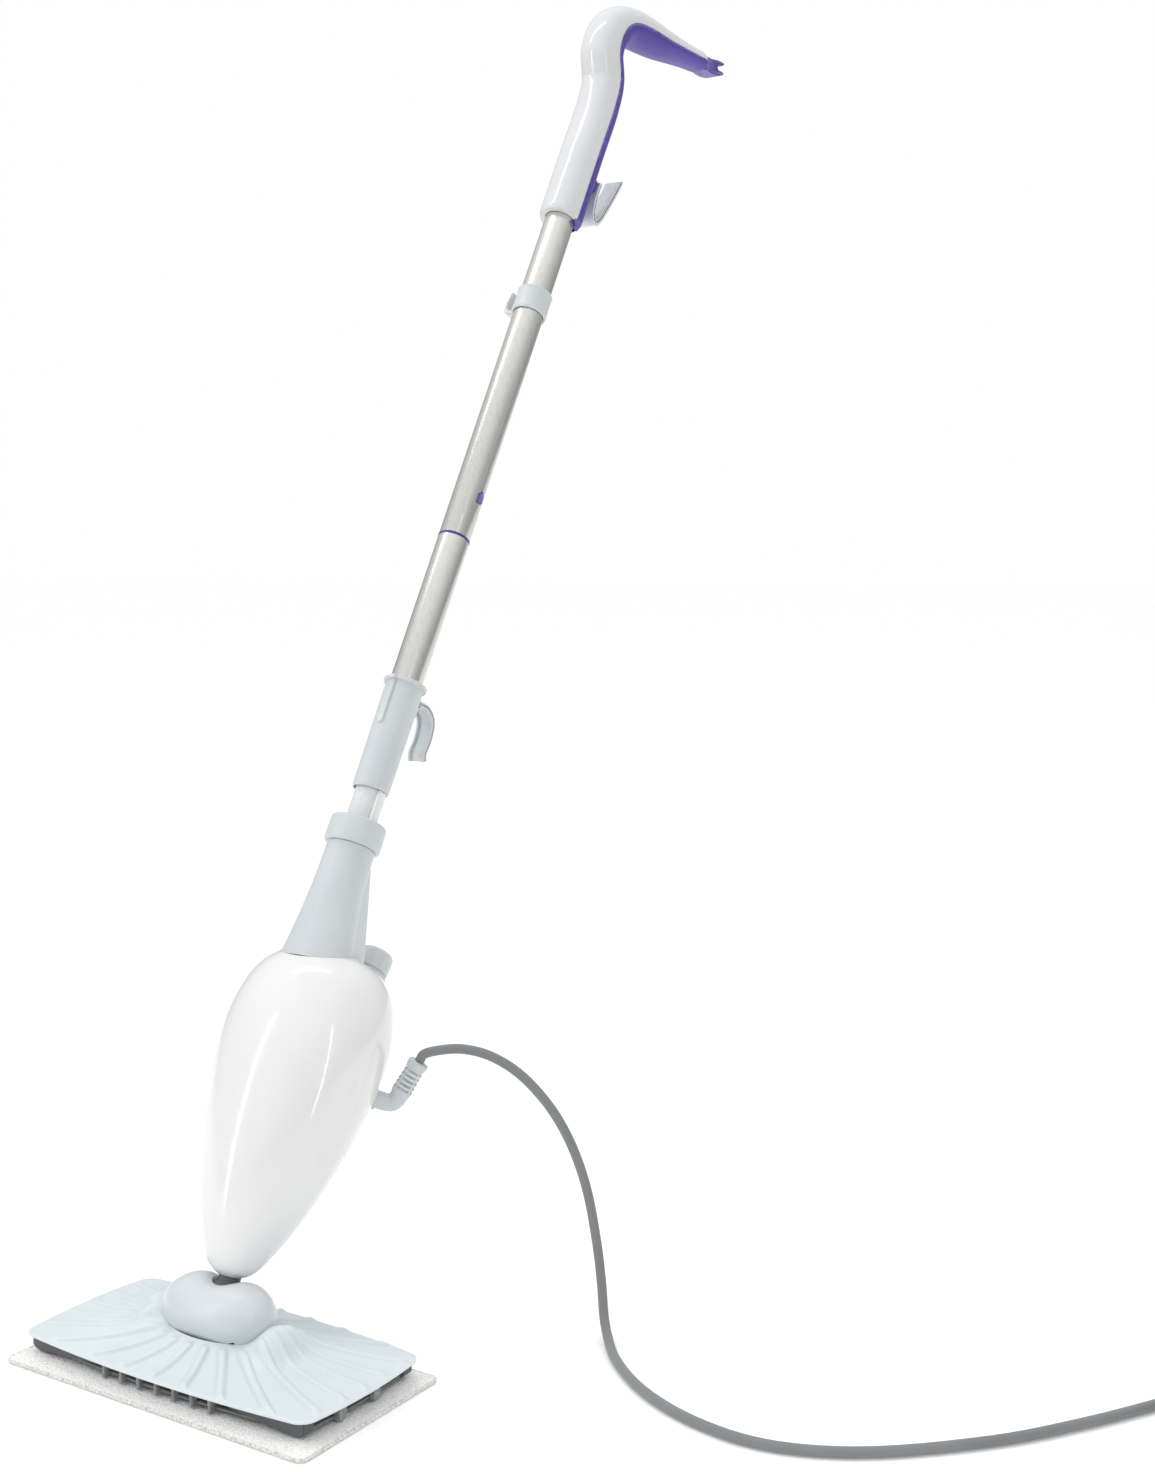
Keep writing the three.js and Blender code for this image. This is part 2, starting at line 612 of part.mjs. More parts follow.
function heatingElement() {
  const y = body.centre + boiler.depth / 2 + element.radius + gap;
  const low = boiler.bottom + 10;
  const high = low + element.length;
  const { spread, radius } = element;
  const solid = bar([
    [-spread, y, high], [-spread, y, low + spread], [-spread * 0.7, y, low + spread * 0.3], [0, y, low],
    [spread * 0.7, y, low + spread * 0.3], [spread, y, low + spread], [spread, y, high],
  ], radius, 8, 18);
  return piece('heating_element', solid, steel);
}

function thermostat() {
  const y = body.centre - boiler.depth / 2 - gap;
  const can = turned([[0, 0], [8, 0], [8, 4.5], [6.5, 5], [6.5, 8], [0, 8]], 16);
  return piece('thermostat', can.rotate([90, 0, 0]).translate([0, y, boiler.bottom + 34]), aluminium);
}

function terminalBlock() {
  const blocks = [block(30, 12, 11, 0, body.centre + 12, boiler.bottom + boiler.height + 8)];
  const holes = [-10, 0, 10].map((x) =>
    rod(2.2, 5, 14, 10).translate([x, body.centre + 12, boiler.bottom + boiler.height + 8]));
  return piece('terminal_block', blocks[0].subtract(join(holes)), silicone);
}

function pumpCylinder() {
  const { radius, bore, bottom, height, rod: rodRadius } = pump;
  const top = bottom + height;
  const solid = turned([
    [2, bottom], [radius, bottom], [radius, top], [rodRadius + runningFit, top],
    [rodRadius + runningFit, top - 3], [bore, top - 3], [bore, bottom + 3], [2, bottom + 3], [2, bottom],
  ], 20);
  return piece('pump_cylinder', solid.translate([0, -poleOffset, 0]), clearPlastic);
}

function pumpPiston() {
  const headBottom = pump.bottom + 3 + pump.stroke + 1.5;
  const solid = turned([
    [0, headBottom], [pump.bore - gap, headBottom], [pump.bore - gap, headBottom + 5],
    [pump.rod, headBottom + 6], [pump.rod, innerTube.bottom - gap], [0, innerTube.bottom - gap],
  ], 16);
  return piece('pump_piston', solid.translate([0, -poleOffset, 0]), clearPlastic);
}

function coilSpring(radius, wire, turns, bottom, top, stepsPerTurn = 9) {
  const points = [];
  const count = turns * stepsPerTurn;
  for (let i = 0; i <= count; i += 1) {
    const angle = (i / stepsPerTurn) * 2 * Math.PI;
    points.push([
      radius * Math.cos(angle), radius * Math.sin(angle),
      bottom + wire / 2 + ((top - bottom - wire) * i) / count,
    ]);
  }
  return bar(points, wire / 2, 4, count);
}

function pumpSpring() {
  const bottom = pump.bottom + pump.height + gap;
  const solid = coilSpring(spring.radius, spring.wire, spring.turns, bottom, innerTube.bottom - gap);
  return piece('pump_spring', solid.translate([0, -poleOffset, 0]), steel);
}

// Valve between the pump and the tank, straight under the pump.
function checkValve() {
  const { radius, bore, height } = valve;
  const top = pump.bottom - gap;
  const bottom = top - height;
  const solid = turned([[bore, bottom], [radius, bottom], [radius, top - 2], [3, top], [bore, top], [bore, bottom]], 20);
  return piece('check_valve', solid.translate([0, -poleOffset, 0]), brass);
}

// The delivery hose runs down between the tank and the shell.
function hoses() {
  const valveBottom = pump.bottom - 2 * gap - valve.height;
  const boilerTop = boiler.bottom + boiler.height;
  const dipTube = ring(2.4, 1.4, tank.bottom + 6, valveBottom, 10).translate([0, -poleOffset, 0]);
  const sideAt = (z) => (body.width / 2) * bodyHalfAt(z) * (tank.share + 1) * 0.5 - body.wall / 2;
  const y = body.centre;
  const hoseTurn = 19.8;   // from the turn over the tank to the upright run
  const delivery = bar([
    [valve.radius + gap, -poleOffset, valve.port], [valve.radius + 5, -poleOffset, valve.port],
    [sideAt(tank.top - 4) - hoseTurn, -poleOffset + 6, valve.port - 1],
    [sideAt(tank.top - 4) - 1, y - 5, tank.top - 4], [sideAt(215), y, 215],
    [sideAt(190), y, 190], [sideAt(165), y, 165], [sideAt(tank.bottom) - 1, y, tank.bottom],
    [40, y, tank.bottom - 13], [20, y, boilerTop + 12], [8, y, boilerTop + 7], [8, y, boilerTop + gap],
  ], 2, 6, 26);
  const steamTube = bar([
    [0, y, boiler.bottom - 2 * gap], [0, y, boiler.bottom - 4], [0, y * 0.3, neckJoint.top + 30],
    [0, 0, neckJoint.top + 24 + 2 * gap],
  ], 2.6, 6, 5);
  return [
    piece('dip_tube', dipTube, silicone),
    piece('delivery_hose', delivery, silicone),
    piece('steam_tube', steamTube, silicone),
  ];
}

function cordGland() {
  const elbow = bar([glandInside, glandRoot, glandElbow, glandMiddle], glandRadius, 12, 9);
  const from = new THREE.Vector3(...glandMiddle);
  const to = new THREE.Vector3(...glandEnd);
  const direction = to.clone().sub(from).normalize();
  const length = to.distanceTo(from) + 8;
  const turn = new THREE.Quaternion().setFromUnitVectors(new THREE.Vector3(0, 0, 1), direction);
  const euler = new THREE.Euler().setFromQuaternion(turn, 'ZYX');
  const degrees = [euler.x, euler.y, euler.z].map(THREE.MathUtils.radToDeg);
  const placeRelief = (solid) => solid.rotate(degrees).translate(to.toArray());
  const relief = turned([
    [0, -length], [6.2, -length], [6.3, -length + 4], [4.9, -4], [5.4, -3.4], [5.4, 0], [0, 0],
  ], 12);
  const slots = [];
  for (let i = 0; i < 5; i += 1) {
    const z = -length + 7 + i * ((length - 13) / 4.6);
    slots.push(block(14, 2.6, 1.5, 0, 4.8, z), block(14, 2.6, 1.5, 0, -4.8, z));
  }
  return piece('cord_gland', elbow.add(placeRelief(relief.subtract(join(slots)))), lightGrey);
}

// ---- cord, in the mop's own frame ----
const cordRoute = [
  [90, 140.5, 211.2], [103, 149, 211.8], [120, 159, 207], [138, 170, 194], [156, 181, 171], [168, 190, 145],
  [178, 197, 111], [185, 201, 69], [189, 202, 36], [195, 196, 14], [209, 180, 5.2], [229, 158, 4], [270, 127, 4],
  [321, 107, 4], [372, 104, 4], [426, 126, 4], [494, 188, 4], [534, 242, 4], [566, 294, 4], [580.3, 319, 4],
];

function powerCord(start, next) {
  const solid = bar([start, next, ...cordRoute], cord.radius, cord.sides, 60);
  return piece('power_cord', solid, cordGrey);
}

function cordCoil() {
  const { x, y, inner, outer, height } = coil;
  const solid = turned([
    [inner, 1.2], [inner + 3, 0.4], [outer - 3, 0.4], [outer, 3.6], [outer, height - 3], [outer - 3, height],
    [inner + 3, height], [inner, height - 3], [inner, 1.2],
  ], 24);
  return piece('cord_coil', solid.translate([x, y, 0]), cordGrey);
}

function plugPieces() {
  const { width, height, length, relief, pinLength } = plug;
  const group = new THREE.Group();
  const bodySections = [[0.42, 0.5, 0], [0.8, 0.9, 5], [1, 1, 12], [1, 1, length - 3], [0.94, 0.92, length]];
  const shell = loft(bodySections.map(([w, h, z]) => levelRing((width / 2) * w, (height / 2) * h, 0, z, 2.6, 16)));
  const neckPart = turned([[0, -relief], [4.6, -relief], [5.6, 1], [0, 2]], 12);
  group.add(piece('plug_body', shell.add(neckPart), cordGrey));
  for (const side of [-1, 1]) {
    const blade = block(1.5, 6.3, pinLength, side * 6.35, -1.5, length + gap);
    group.add(piece(side < 0 ? 'plug_blade_left' : 'plug_blade_right', blade, brass));
  }
  const earth = rod(2.4, length + gap, length + gap + pinLength + 3, 14).translate([0, 5, 0]);
  group.add(piece('plug_earth_pin', earth, brass));
  group.rotation.set(0, Math.PI / 2, Math.PI * 0.35, 'ZYX');
  group.position.set(coil.x - 12, coil.y + 19, coil.height + gap + width / 2);
  return group;
}

// ---- pole, in a frame on the pole axis ----
function innerTubePiece() {
  const { radius, bottom, top, wall } = innerTube;
  const solid = turned([
    [0, bottom], [radius, bottom], [radius, top], [radius - wall, top], [radius - wall, bottom + 4], [0, bottom + 4],
  ], 24);
  return piece('inner_tube', solid, lightGrey);
}

function guideKey() {
  const bottom = innerTube.bottom + 4;
  const height = sleeve.bottom - gap - bottom;
  const outer = ring(innerTube.radius + key.height, innerTube.radius + 0.15, bottom, bottom + height, 32);
  const window = block(innerTube.radius + key.height + 1, key.width, height + 2, (innerTube.radius + key.height + 1) / 2, 0, bottom - 1);
  return piece('guide_key', outer.intersect(window), whiteGloss);
}

function poleSleeve() {
  const { bottom, top, radius, flange, flangeHeight } = sleeve;
  const bore = tube.radius + gap;
  const wall = turned([
    [bore, bottom], [radius - 0.9, bottom], [radius - 0.5, bottom + 1], [radius, top - flangeHeight],
    [flange, top - flangeHeight], [flange, top - 0.6], [flange - 0.6, top], [bore, top], [bore, bottom],
  ], 22);
  const { width, height, length } = tongue;
  const tip = top - length;
  const outline = [[-width / 2, tip + width / 2], [-width * 0.35, tip + width * 0.15], [0, tip],
    [width * 0.35, tip + width * 0.15], [width / 2, tip + width / 2], [width / 2, top], [-width / 2, top]];
  const tonguePiece = prism(outline.map(([x, z]) => [x, z]), radius + height - bore - 0.4)
    .rotate([90, 0, 0])
    .translate([0, -bore - 0.4, 0]);
  const ear = block(7, flange * 2 + 4, flangeHeight, 0, 0, top - flangeHeight)
    .subtract(rod(radius - 0.2, top - 10, top + 1, 24));
  return piece('pole_sleeve', join([wall, tonguePiece, ear]), lightGrey);
}

// A channel-section hook: a strap along a path of [y, z] pairs, with edges raised from lipFrom to lipTo.
function strapHook(path, width, thickness, lipFrom, lipTo) {
  const curve = new THREE.SplineCurve(path.map(([y, z]) => new THREE.Vector2(y, z)));
  const offsetOutline = (inner, outer) => {
    const near = [];
    const far = [];
    for (let i = 0; i <= 8; i += 1) {
      const point = curve.getPoint(i / 8);
      const along = curve.getTangent(i / 8);
      near.push([point.x - along.y * inner, point.y + along.x * inner]);
      far.unshift([point.x - along.y * outer, point.y + along.x * outer]);
    }
    return [...near, ...far];
  };
  const strap = sidePrism(offsetOutline(0, thickness), width);
  const edges = [-1, 1].map((side) =>
    sidePrism(offsetOutline(lipFrom, lipTo), 1.8, side * (width / 2 - 0.9)));
  return join([strap, ...edges]);
}

function lowerCordHook() {
  const root = sleeve.radius + gap;
  const top = sleeve.top - sleeve.flangeHeight - 4;
  const hook = strapHook([
    [root + 1.5, top - 3], [root + 12, top - 2], [root + 22, top - 8], [root + 25, top - 22], [root + 24, top - 34],
    [root + 27, top - 40],
  ], 15, 2.6, -2.4, 1.3);
  const foot = block(11, 3, 16, 0, root + 1.5, top - 14);
  return piece('lower_cord_hook', hook.add(foot), lightGrey);
}

function poleTube(name, bottom, top, cuts = null) {
  const pipe = ring(tube.radius, tube.radius - tube.wall, bottom, top, 20);
  return piece(name, cuts ? pipe.subtract(cuts) : pipe, steel);
}

// Outline of the lock button, a blunt arrow that points up the pole.
function buttonOutline(grow) {
  const half = button.width / 2 + grow;
  const top = button.height / 2 + grow;
  return [[-half, -top], [half, -top], [half, top * 0.25], [0, top], [-half, top * 0.25]];
}

function buttonPrism(grow, from, to) {
  return prism(buttonOutline(grow), to - from)
    .rotate([90, 0, 90])
    .translate([from, 0, button.z]);
}

function couplerPiece() {
  const ringBottom = lowerTube.top + gap;
  const spigotRadius = tube.radius - tube.wall - gap;
  const solid = join([
    ring(coupler.radius, spigotRadius - coupler.wall, ringBottom, ringBottom + coupler.ring, 20),
    ring(spigotRadius, spigotRadius - coupler.wall, ringBottom - coupler.spigot, ringBottom + coupler.spigotTop, 20),
  ]);
  return piece('tube_coupler', solid.subtract(buttonPrism(runningFit, 0, 20)), purple);
}

function lockButton() {
  const inside = tube.radius - tube.wall - gap - coupler.wall - 3;
  const face = buttonPrism(0, inside, tube.radius + button.proud);
  const foot = block(3, button.width - 1, button.height - 3, inside - 1.2, 0, button.z - (button.height - 3) / 2);
  return piece('lock_button', face.add(foot), purple);
}

function buttonSpring() {
  const far = -(tube.radius - tube.wall - gap - coupler.wall - gap - 1);
  const near = tube.radius - tube.wall - gap - coupler.wall - 3 - 2.7 - gap;
  const solid = coilSpring(2.2, 0.8, 4, far, near, 7);
  return piece('button_spring', solid.rotate([0, 90, 0]).translate([0, 0, button.z]), steel);
}

function cordClipRing() {
  const { bottom, height, radius } = clipRing;
  const band = ring(radius, tube.radius + 0.3, bottom, bottom + height, 24);
  const outline = [[-radius + 1, bottom + 1], [-radius - 5, bottom + 1], [-radius - 9, bottom + 5],
    [-radius - 9.6, bottom + 12], [-radius - 7.5, bottom + height - 1], [-radius - 5, bottom + height + 1],
    [-radius - 5.6, bottom + height - 3], [-radius - 7.4, bottom + 12], [-radius - 6.6, bottom + 6.5],
    [-radius - 4, bottom + 4], [-radius + 1, bottom + 4]];
  const clip = prism(outline, 9, -4.5).rotate([90, 0, 0]);
  return piece('cord_clip_ring', band.add(clip.subtract(rod(tube.radius + 0.3, bottom - 9, bottom + height + 9, 24))), lightGrey);
}

// ---- handle: a stem on the pole, a riser and a level grip ----
const riseDirection = [-Math.sin(lean), Math.cos(lean)];
const gripDirection = [Math.cos(lean), Math.sin(lean)];

function handlePath() {
  const { bottom, riseStart, rise, bend, grip: gripLength } = handle;
  const elbow = [riseDirection[0] * rise, riseStart + riseDirection[1] * rise];
  const corner = [elbow[0] + riseDirection[0] * bend, elbow[1] + riseDirection[1] * bend];
  const start = [corner[0] + gripDirection[0] * bend, corner[1] + gripDirection[1] * bend];
  const onGrip = (distance) => [start[0] + gripDirection[0] * distance, start[1] + gripDirection[1] * distance];
  const rounded = [corner[0] * 0.3 + (elbow[0] + start[0]) * 0.35, corner[1] * 0.3 + (elbow[1] + start[1]) * 0.35];
  return {
    points: [[0, bottom], [0, (bottom + riseStart) / 2], [0, riseStart - 12], [riseDirection[0] * 8, riseStart + 10],
      elbow, rounded, start, onGrip(gripLength / 2), onGrip(gripLength)],
    end: onGrip(gripLength),
  };
}

const handleCurve = new THREE.CatmullRomCurve3(
  handlePath().points.map(([y, z]) => new THREE.Vector3(0, y, z)), false, 'centripetal',
);

function handleForm(inset, from, to, rows) {
  const rings = [];
  for (let i = 0; i <= rows; i += 1) {
    const t = from + (to - from) * (i / rows);
    const point = handleCurve.getPointAt(t);
    const along = handleCurve.getTangentAt(t);
    const onGrip = THREE.MathUtils.smoothstep(t, 0.5, 0.62);
    const taper = THREE.MathUtils.smoothstep(t, 0.66, 1);
    const wide = THREE.MathUtils.lerp(grip.width, grip.endWidth, taper) / 2;
    const high = THREE.MathUtils.lerp(grip.height, grip.endHeight, taper) / 2;
    const tip = t > 0.985 ? 0.86 : 1;
    const foot = t < 0.01 ? 0.96 : 1;
    const halfX = THREE.MathUtils.lerp(handle.stemRadius, wide, onGrip) * tip * foot - inset;
    const halfN = THREE.MathUtils.lerp(handle.stemRadius, high, onGrip) * tip * foot - inset;
    rings.push(roundedSection(halfX, halfN, 2.15, 16).map(([across, out]) => [
      across, point.y + along.z * out, point.z - along.y * out,
    ]));
  }
  return loft(rings);
}

// The space behind the stem and under the grip, from the seam line out.
function underHandle(shift) {
  const outline = [];
  for (let i = 0; i <= 14; i += 1) {
    const t = i / 14;
    const point = handleCurve.getPointAt(t);
    const along = handleCurve.getTangentAt(t);
    outline.push([point.y + along.z * shift, point.z - along.y * shift]);
  }
  const end = outline[14];
  outline.push([end[0] + gripDirection[0] * 60, end[1] + gripDirection[1] * 60]);
  outline.push([end[0] + 200, handle.bottom - 60], [shift, handle.bottom - 60]);
  return sidePrism(outline, 120);
}

const handleScrewZ = handle.bottom + 20;

function handlePieces() {
  const outer = handleForm(0, 0, 1, 18);
  const hollow = handleForm(grip.wall, 0.3, 0.96, 9);
  const tubeBore = rod(tube.radius + gap + 0.2, handle.bottom - 30, handle.bottom + grip.tubeDepth + gap, 20);
  const stemHollow = rod(tube.radius - 2, handle.bottom, handle.riseStart - 4, 12);
  const shellBody = outer.subtract(join([hollow, tubeBore, stemHollow]));
  const tongueOutline = [[9, handle.bottom - 11], [14.5, handle.bottom - 11.5],
    [handle.stemRadius - 0.6, handle.bottom - 4], [handle.stemRadius - 0.6, handle.bottom + 14],
    [9, handle.bottom + 14]];
  const tail = sidePrism(tongueOutline, 15)
    .intersect(rod(handle.stemRadius, handle.bottom - 20, handle.bottom + 20))
    .subtract(tubeBore);
  const boss = rod(hookBoss.radius, 0, hookBoss.height, 16)
    .rotate([-90, 0, 0])
    .translate([0, handle.stemRadius - 1.5, hookBoss.z])
    .subtract(tubeBore);
  const pinHole = rod(2.6, -9, 20, 10).rotate([-90, 0, 0]).translate([0, handle.stemRadius, hookBoss.z]);
  const screwHole = rod(1.4 + gap, -9, 9, 10).rotate([-90, 0, 0]).translate([0, handle.stemRadius, handleScrewZ]);
  const front = shellBody.subtract(underHandle(-gap / 2));
  const insert = join([shellBody.intersect(underHandle(gap / 2)), tail, boss]).subtract(pinHole).subtract(screwHole);
  return [piece('handle_shell', front, whiteGloss), piece('handle_insert', insert, purple)];
}

function handleEndClip() {
  const { end } = handlePath();
  const along = gripDirection;
  const place = (a, b) => [end[0] + along[0] * a - along[1] * b, end[1] + along[1] * a + along[0] * b];
  const outline = [[1, -7], [14, -8.5], [30, -7], [36, -5], [34, -2.4], [27, -2.6], [24, 0], [27, 2.6], [36, 3.6],
    [37, 6.4], [26, 6.6], [12, 5], [1, 5.5]].map(([a, b]) => place(a, b));
  return piece('handle_end_clip', sidePrism(outline, 17), purple);
}

function upperCordHook() {
  const faceY = handle.stemRadius - 1.5 + hookBoss.height + gap;
  const plate = rod(hookBoss.radius - 0.5, 0, 3, 20).rotate([-90, 0, 0]).translate([0, faceY, hookBoss.z]);
  const hook = strapHook([
    [faceY + 0.4, hookBoss.z + 5], [faceY + 0.4, hookBoss.z - 12], [faceY + 5, hookBoss.z - 26],
    [faceY + 12, hookBoss.z - 29], [faceY + 18, hookBoss.z - 20], [faceY + 24, hookBoss.z + 8],
    [faceY + 30, hookBoss.z + 36],
  ], 15, 2.6, 1.3, 4.8);
  const pinHole = rod(2.6, -5, 12, 10).rotate([-90, 0, 0]).translate([0, faceY, hookBoss.z]);
  return piece('upper_cord_hook', plate.add(hook).subtract(pinHole), lightGrey);
}

function hookPin() {
  const faceY = handle.stemRadius - 1.5 + hookBoss.height + gap;
  const solid = turned([[0, -12], [2.2, -12], [2.2, 5.4], [4, 5.4], [4, 7], [0, 7.4]], 12);
  return piece('hook_pin', solid.rotate([-90, 0, 0]).translate([0, faceY, hookBoss.z]), steel);
}

function handleScrew() {
  const solid = turned([[0, -3.6], [1.4, -3.6], [1.4, 0], [3, 0], [3, 1.8], [0, 2.2]], 10);
  return piece('handle_screw', solid.rotate([-90, 0, 0]).translate([0, handle.stemRadius + gap, handleScrewZ]), steel);
}

// ---- assembly ----
const mop = new THREE.Group();
mop.add(mopPad(), basePlate(), headCover(), steamNozzle(), ...gripStrips());
for (const [side, x] of [['left', -bearing.x], ['right', bearing.x]]) {
  mop.add(bearingBlock(`bearing_block_${side}`, x), pivotPin(`pivot_pin_${side}`, x), baseScrew(`base_screw_${side}`, x));
}

const unit = new THREE.Group();
unit.position.z = pivotHeight;
unit.rotation.x = -lean;
unit.add(swivelBarrel(), neckJointPiece(), ...bodyShells(), neckCone(), neckCollar(), waterTank(), fillerNeck());
unit.add(fillerCap(), capSeal(), boilerBlock(), heatingElement(), thermostat(), terminalBlock());
unit.add(pumpCylinder(), pumpPiston(), pumpSpring(), checkValve(), ...hoses(), cordGland());

const pole = new THREE.Group();
pole.position.y = -poleOffset;
pole.add(innerTubePiece(), guideKey(), poleSleeve(), lowerCordHook());
pole.add(poleTube('lower_tube', lowerTube.bottom, lowerTube.top), couplerPiece());
const upperTubeBottom = lowerTube.top + coupler.ring + 2 * gap;
const upperTubeTop = handle.bottom + grip.tubeDepth;
pole.add(poleTube('upper_tube', upperTubeBottom, upperTubeTop, buttonPrism(runningFit, 5, 20)));
pole.add(lockButton(), buttonSpring(), cordClipRing(), ...handlePieces(), handleEndClip());
pole.add(upperCordHook(), hookPin(), handleScrew());
unit.add(pole);
mop.add(unit);

mop.updateMatrixWorld(true);
const exit = new THREE.Vector3(...glandEnd);
const exitDirection = exit.clone().sub(new THREE.Vector3(...glandMiddle)).normalize();
const cordPoint = (distance) => unit.localToWorld(exit.clone().addScaledVector(exitDirection, distance)).toArray();
mop.add(powerCord(cordPoint(2 * gap), cordPoint(6)), cordCoil(), plugPieces());

export default mop;
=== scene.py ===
# Steam mop: the looks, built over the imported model.
# Pieces are drawn in millimetres in their own frame, then placed in metres.
import math
import bmesh
import bpy
from mathutils import Matrix, Vector, noise


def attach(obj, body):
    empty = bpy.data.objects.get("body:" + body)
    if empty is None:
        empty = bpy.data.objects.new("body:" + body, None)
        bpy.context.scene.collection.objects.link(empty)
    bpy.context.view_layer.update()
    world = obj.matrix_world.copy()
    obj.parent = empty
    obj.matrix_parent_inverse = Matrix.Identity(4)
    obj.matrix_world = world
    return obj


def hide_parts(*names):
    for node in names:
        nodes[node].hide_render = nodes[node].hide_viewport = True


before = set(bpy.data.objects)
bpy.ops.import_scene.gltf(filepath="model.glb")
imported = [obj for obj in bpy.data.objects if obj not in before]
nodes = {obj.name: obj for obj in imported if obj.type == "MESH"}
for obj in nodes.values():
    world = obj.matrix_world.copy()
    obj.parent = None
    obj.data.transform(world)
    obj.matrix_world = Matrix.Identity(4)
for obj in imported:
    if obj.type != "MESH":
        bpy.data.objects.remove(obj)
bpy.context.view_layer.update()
scene = bpy.context.scene

lean = math.radians(29.5)  # pole from the vertical
pivotHeight = 43  # tilt axis above the floor
poleOffset = 22  # pole axis in front of the swivel axis

floorFrame = Matrix.Scale(0.001, 4)
unitFrame = Matrix.Translation((0, 0, pivotHeight / 1000)) @ Matrix.Rotation(-lean, 4, "X") @ floorFrame
poleFrame = unitFrame @ Matrix.Translation((0, -poleOffset, 0))


cameraSettings = {"location": (0.88361, -0.90566, 0.56400), "down": 5.39, "turn": 32.87, "lens": 44.97}
lightSettings = {
    "key": {"place": (-1.9, -1.7, 2.9), "size": (1.6, 1.6), "power": 21, "gloss": False},
    "over": {"place": (-0.45, 0.0, 2.05), "size": (0.06, 1.3), "power": 4},
    "strip": {"place": (-1.1, -1.5, 0.9), "size": (0.09, 1.7), "power": 5},
    "side": {"place": (1.7, -0.9, 0.9), "size": (0.07, 1.5), "power": 3},
    "back": {"place": (0.5, 2.6, 2.2), "size": (2.2, 2.2), "power": 9, "gloss": False},
}
studio = {"horizon": 0.3, "zenith": 1.3, "backdrop": 1.0, "floorColor": (0.95, 0.95, 0.95),
    "floorGlow": 0.12, "floorSize": 40}


def addCamera():
    data = bpy.data.cameras.new("camera")
    data.lens = cameraSettings["lens"]
    data.sensor_width = 36
    camera = bpy.data.objects.new("camera", data)
    camera.location = cameraSettings["location"]
    camera.rotation_euler = (math.radians(90 - cameraSettings["down"]), 0,
        math.radians(cameraSettings["turn"]))
    scene.collection.objects.link(camera)
    scene.camera = camera


def addLights():
    for name, setting in lightSettings.items():
        data = bpy.data.lights.new(name + "Light", "AREA")
        data.shape = "RECTANGLE"
        data.size, data.size_y = setting["size"]
        data.energy = setting["power"]
        lamp = bpy.data.objects.new(name + "Light", data)
        lamp.location = setting["place"]
        aim = Vector((0, 0.25, 0.5)) - lamp.location
        lamp.rotation_euler = aim.to_track_quat("-Z", "Y").to_euler()
        lamp.visible_glossy = setting.get("gloss", True)
        scene.collection.objects.link(lamp)
    world = bpy.data.worlds.new("studio")
    world.use_nodes = True
    tree = world.node_tree
    light, seen, mix, path = tree.nodes["Background"], *[tree.nodes.new("ShaderNode" + kind)
        for kind in ("Background", "MixShader", "LightPath")]
    light.inputs["Color"].default_value = (1, 1, 1, 1)
    way, split, climb = [tree.nodes.new("ShaderNode" + kind)
        for kind in ("TexCoord", "SeparateXYZ", "MapRange")]
    climb.inputs["To Min"].default_value = studio["horizon"]
    climb.inputs["To Max"].default_value = studio["zenith"]
    tree.links.new(way.outputs["Generated"], split.inputs[0])
    tree.links.new(split.outputs["Z"], climb.inputs["Value"])
    tree.links.new(climb.outputs["Result"], light.inputs["Strength"])
    seen.inputs["Color"].default_value = (1, 1, 1, 1)
    seen.inputs["Strength"].default_value = studio["backdrop"]
    tree.links.new(path.outputs["Is Camera Ray"], mix.inputs["Fac"])
    tree.links.new(light.outputs["Background"], mix.inputs[1])
    tree.links.new(seen.outputs["Background"], mix.inputs[2])
    tree.links.new(mix.outputs["Shader"], tree.nodes["World Output"].inputs["Surface"])
    scene.world = world
    scene.view_settings.view_transform = "Standard"


def lerp(low, high, share):
    return low + (high - low) * share


def easeBetween(value, low, high):
    share = min(max((value - low) / (high - low), 0), 1)
    return share * share * (3 - 2 * share)


def roundedSection(halfAcross, halfAlong, power, sides):
    points = []
    for i in range(sides):
        angle = 2 * math.pi * i / sides
        c, s = math.cos(angle), math.sin(angle)
        points.append((
                halfAcross * math.copysign(abs(c) ** (2 / power), c),
                halfAlong * math.copysign(abs(s) ** (2 / power), s),
            ))
    return points


# closed outline of a plain tube's wall
def wallProfile(inner, outer, low, high):
    return [(inner, low), (outer, low), (outer, high), (inner, high), (inner, low)]


def levelRing(halfX, halfY, y, z, power=2, sides=96):
    return [(px, py + y, z) for px, py in roundedSection(halfX, halfY, power, sides)]


def newObject(name, verts, faces):
    mesh = bpy.data.meshes.new(name)
    mesh.from_pydata([tuple(v) for v in verts], [], faces)
    obj = bpy.data.objects.new(name, mesh)
    scene.collection.objects.link(obj)
    return obj


def straightenNormals(obj):
    work = bmesh.new()
    work.from_mesh(obj.data)
    bmesh.ops.remove_doubles(work, verts=work.verts, dist=1e-4)
    bmesh.ops.recalc_face_normals(work, faces=work.faces)
    work.to_mesh(obj.data)
    work.free()
    return obj


# skin over rings of equal length; closed joins the last ring to the first instead of capping
def loftRings(name, rings, closed=False):
    count = len(rings[0])
    verts = [point for ring in rings for point in ring]
    faces = []
    last = len(rings) if closed else len(rings) - 1
    for r in range(last):
        base, above = r * count, ((r + 1) % len(rings)) * count
        for i in range(count):
            j = (i + 1) % count
            faces.append((base + i, base + j, above + j, above + i))
    if not closed:
        faces.append(tuple(range(count)))
        faces.append(tuple(range(len(verts) - count, len(verts))))
    return straightenNormals(newObject(name, verts, faces))


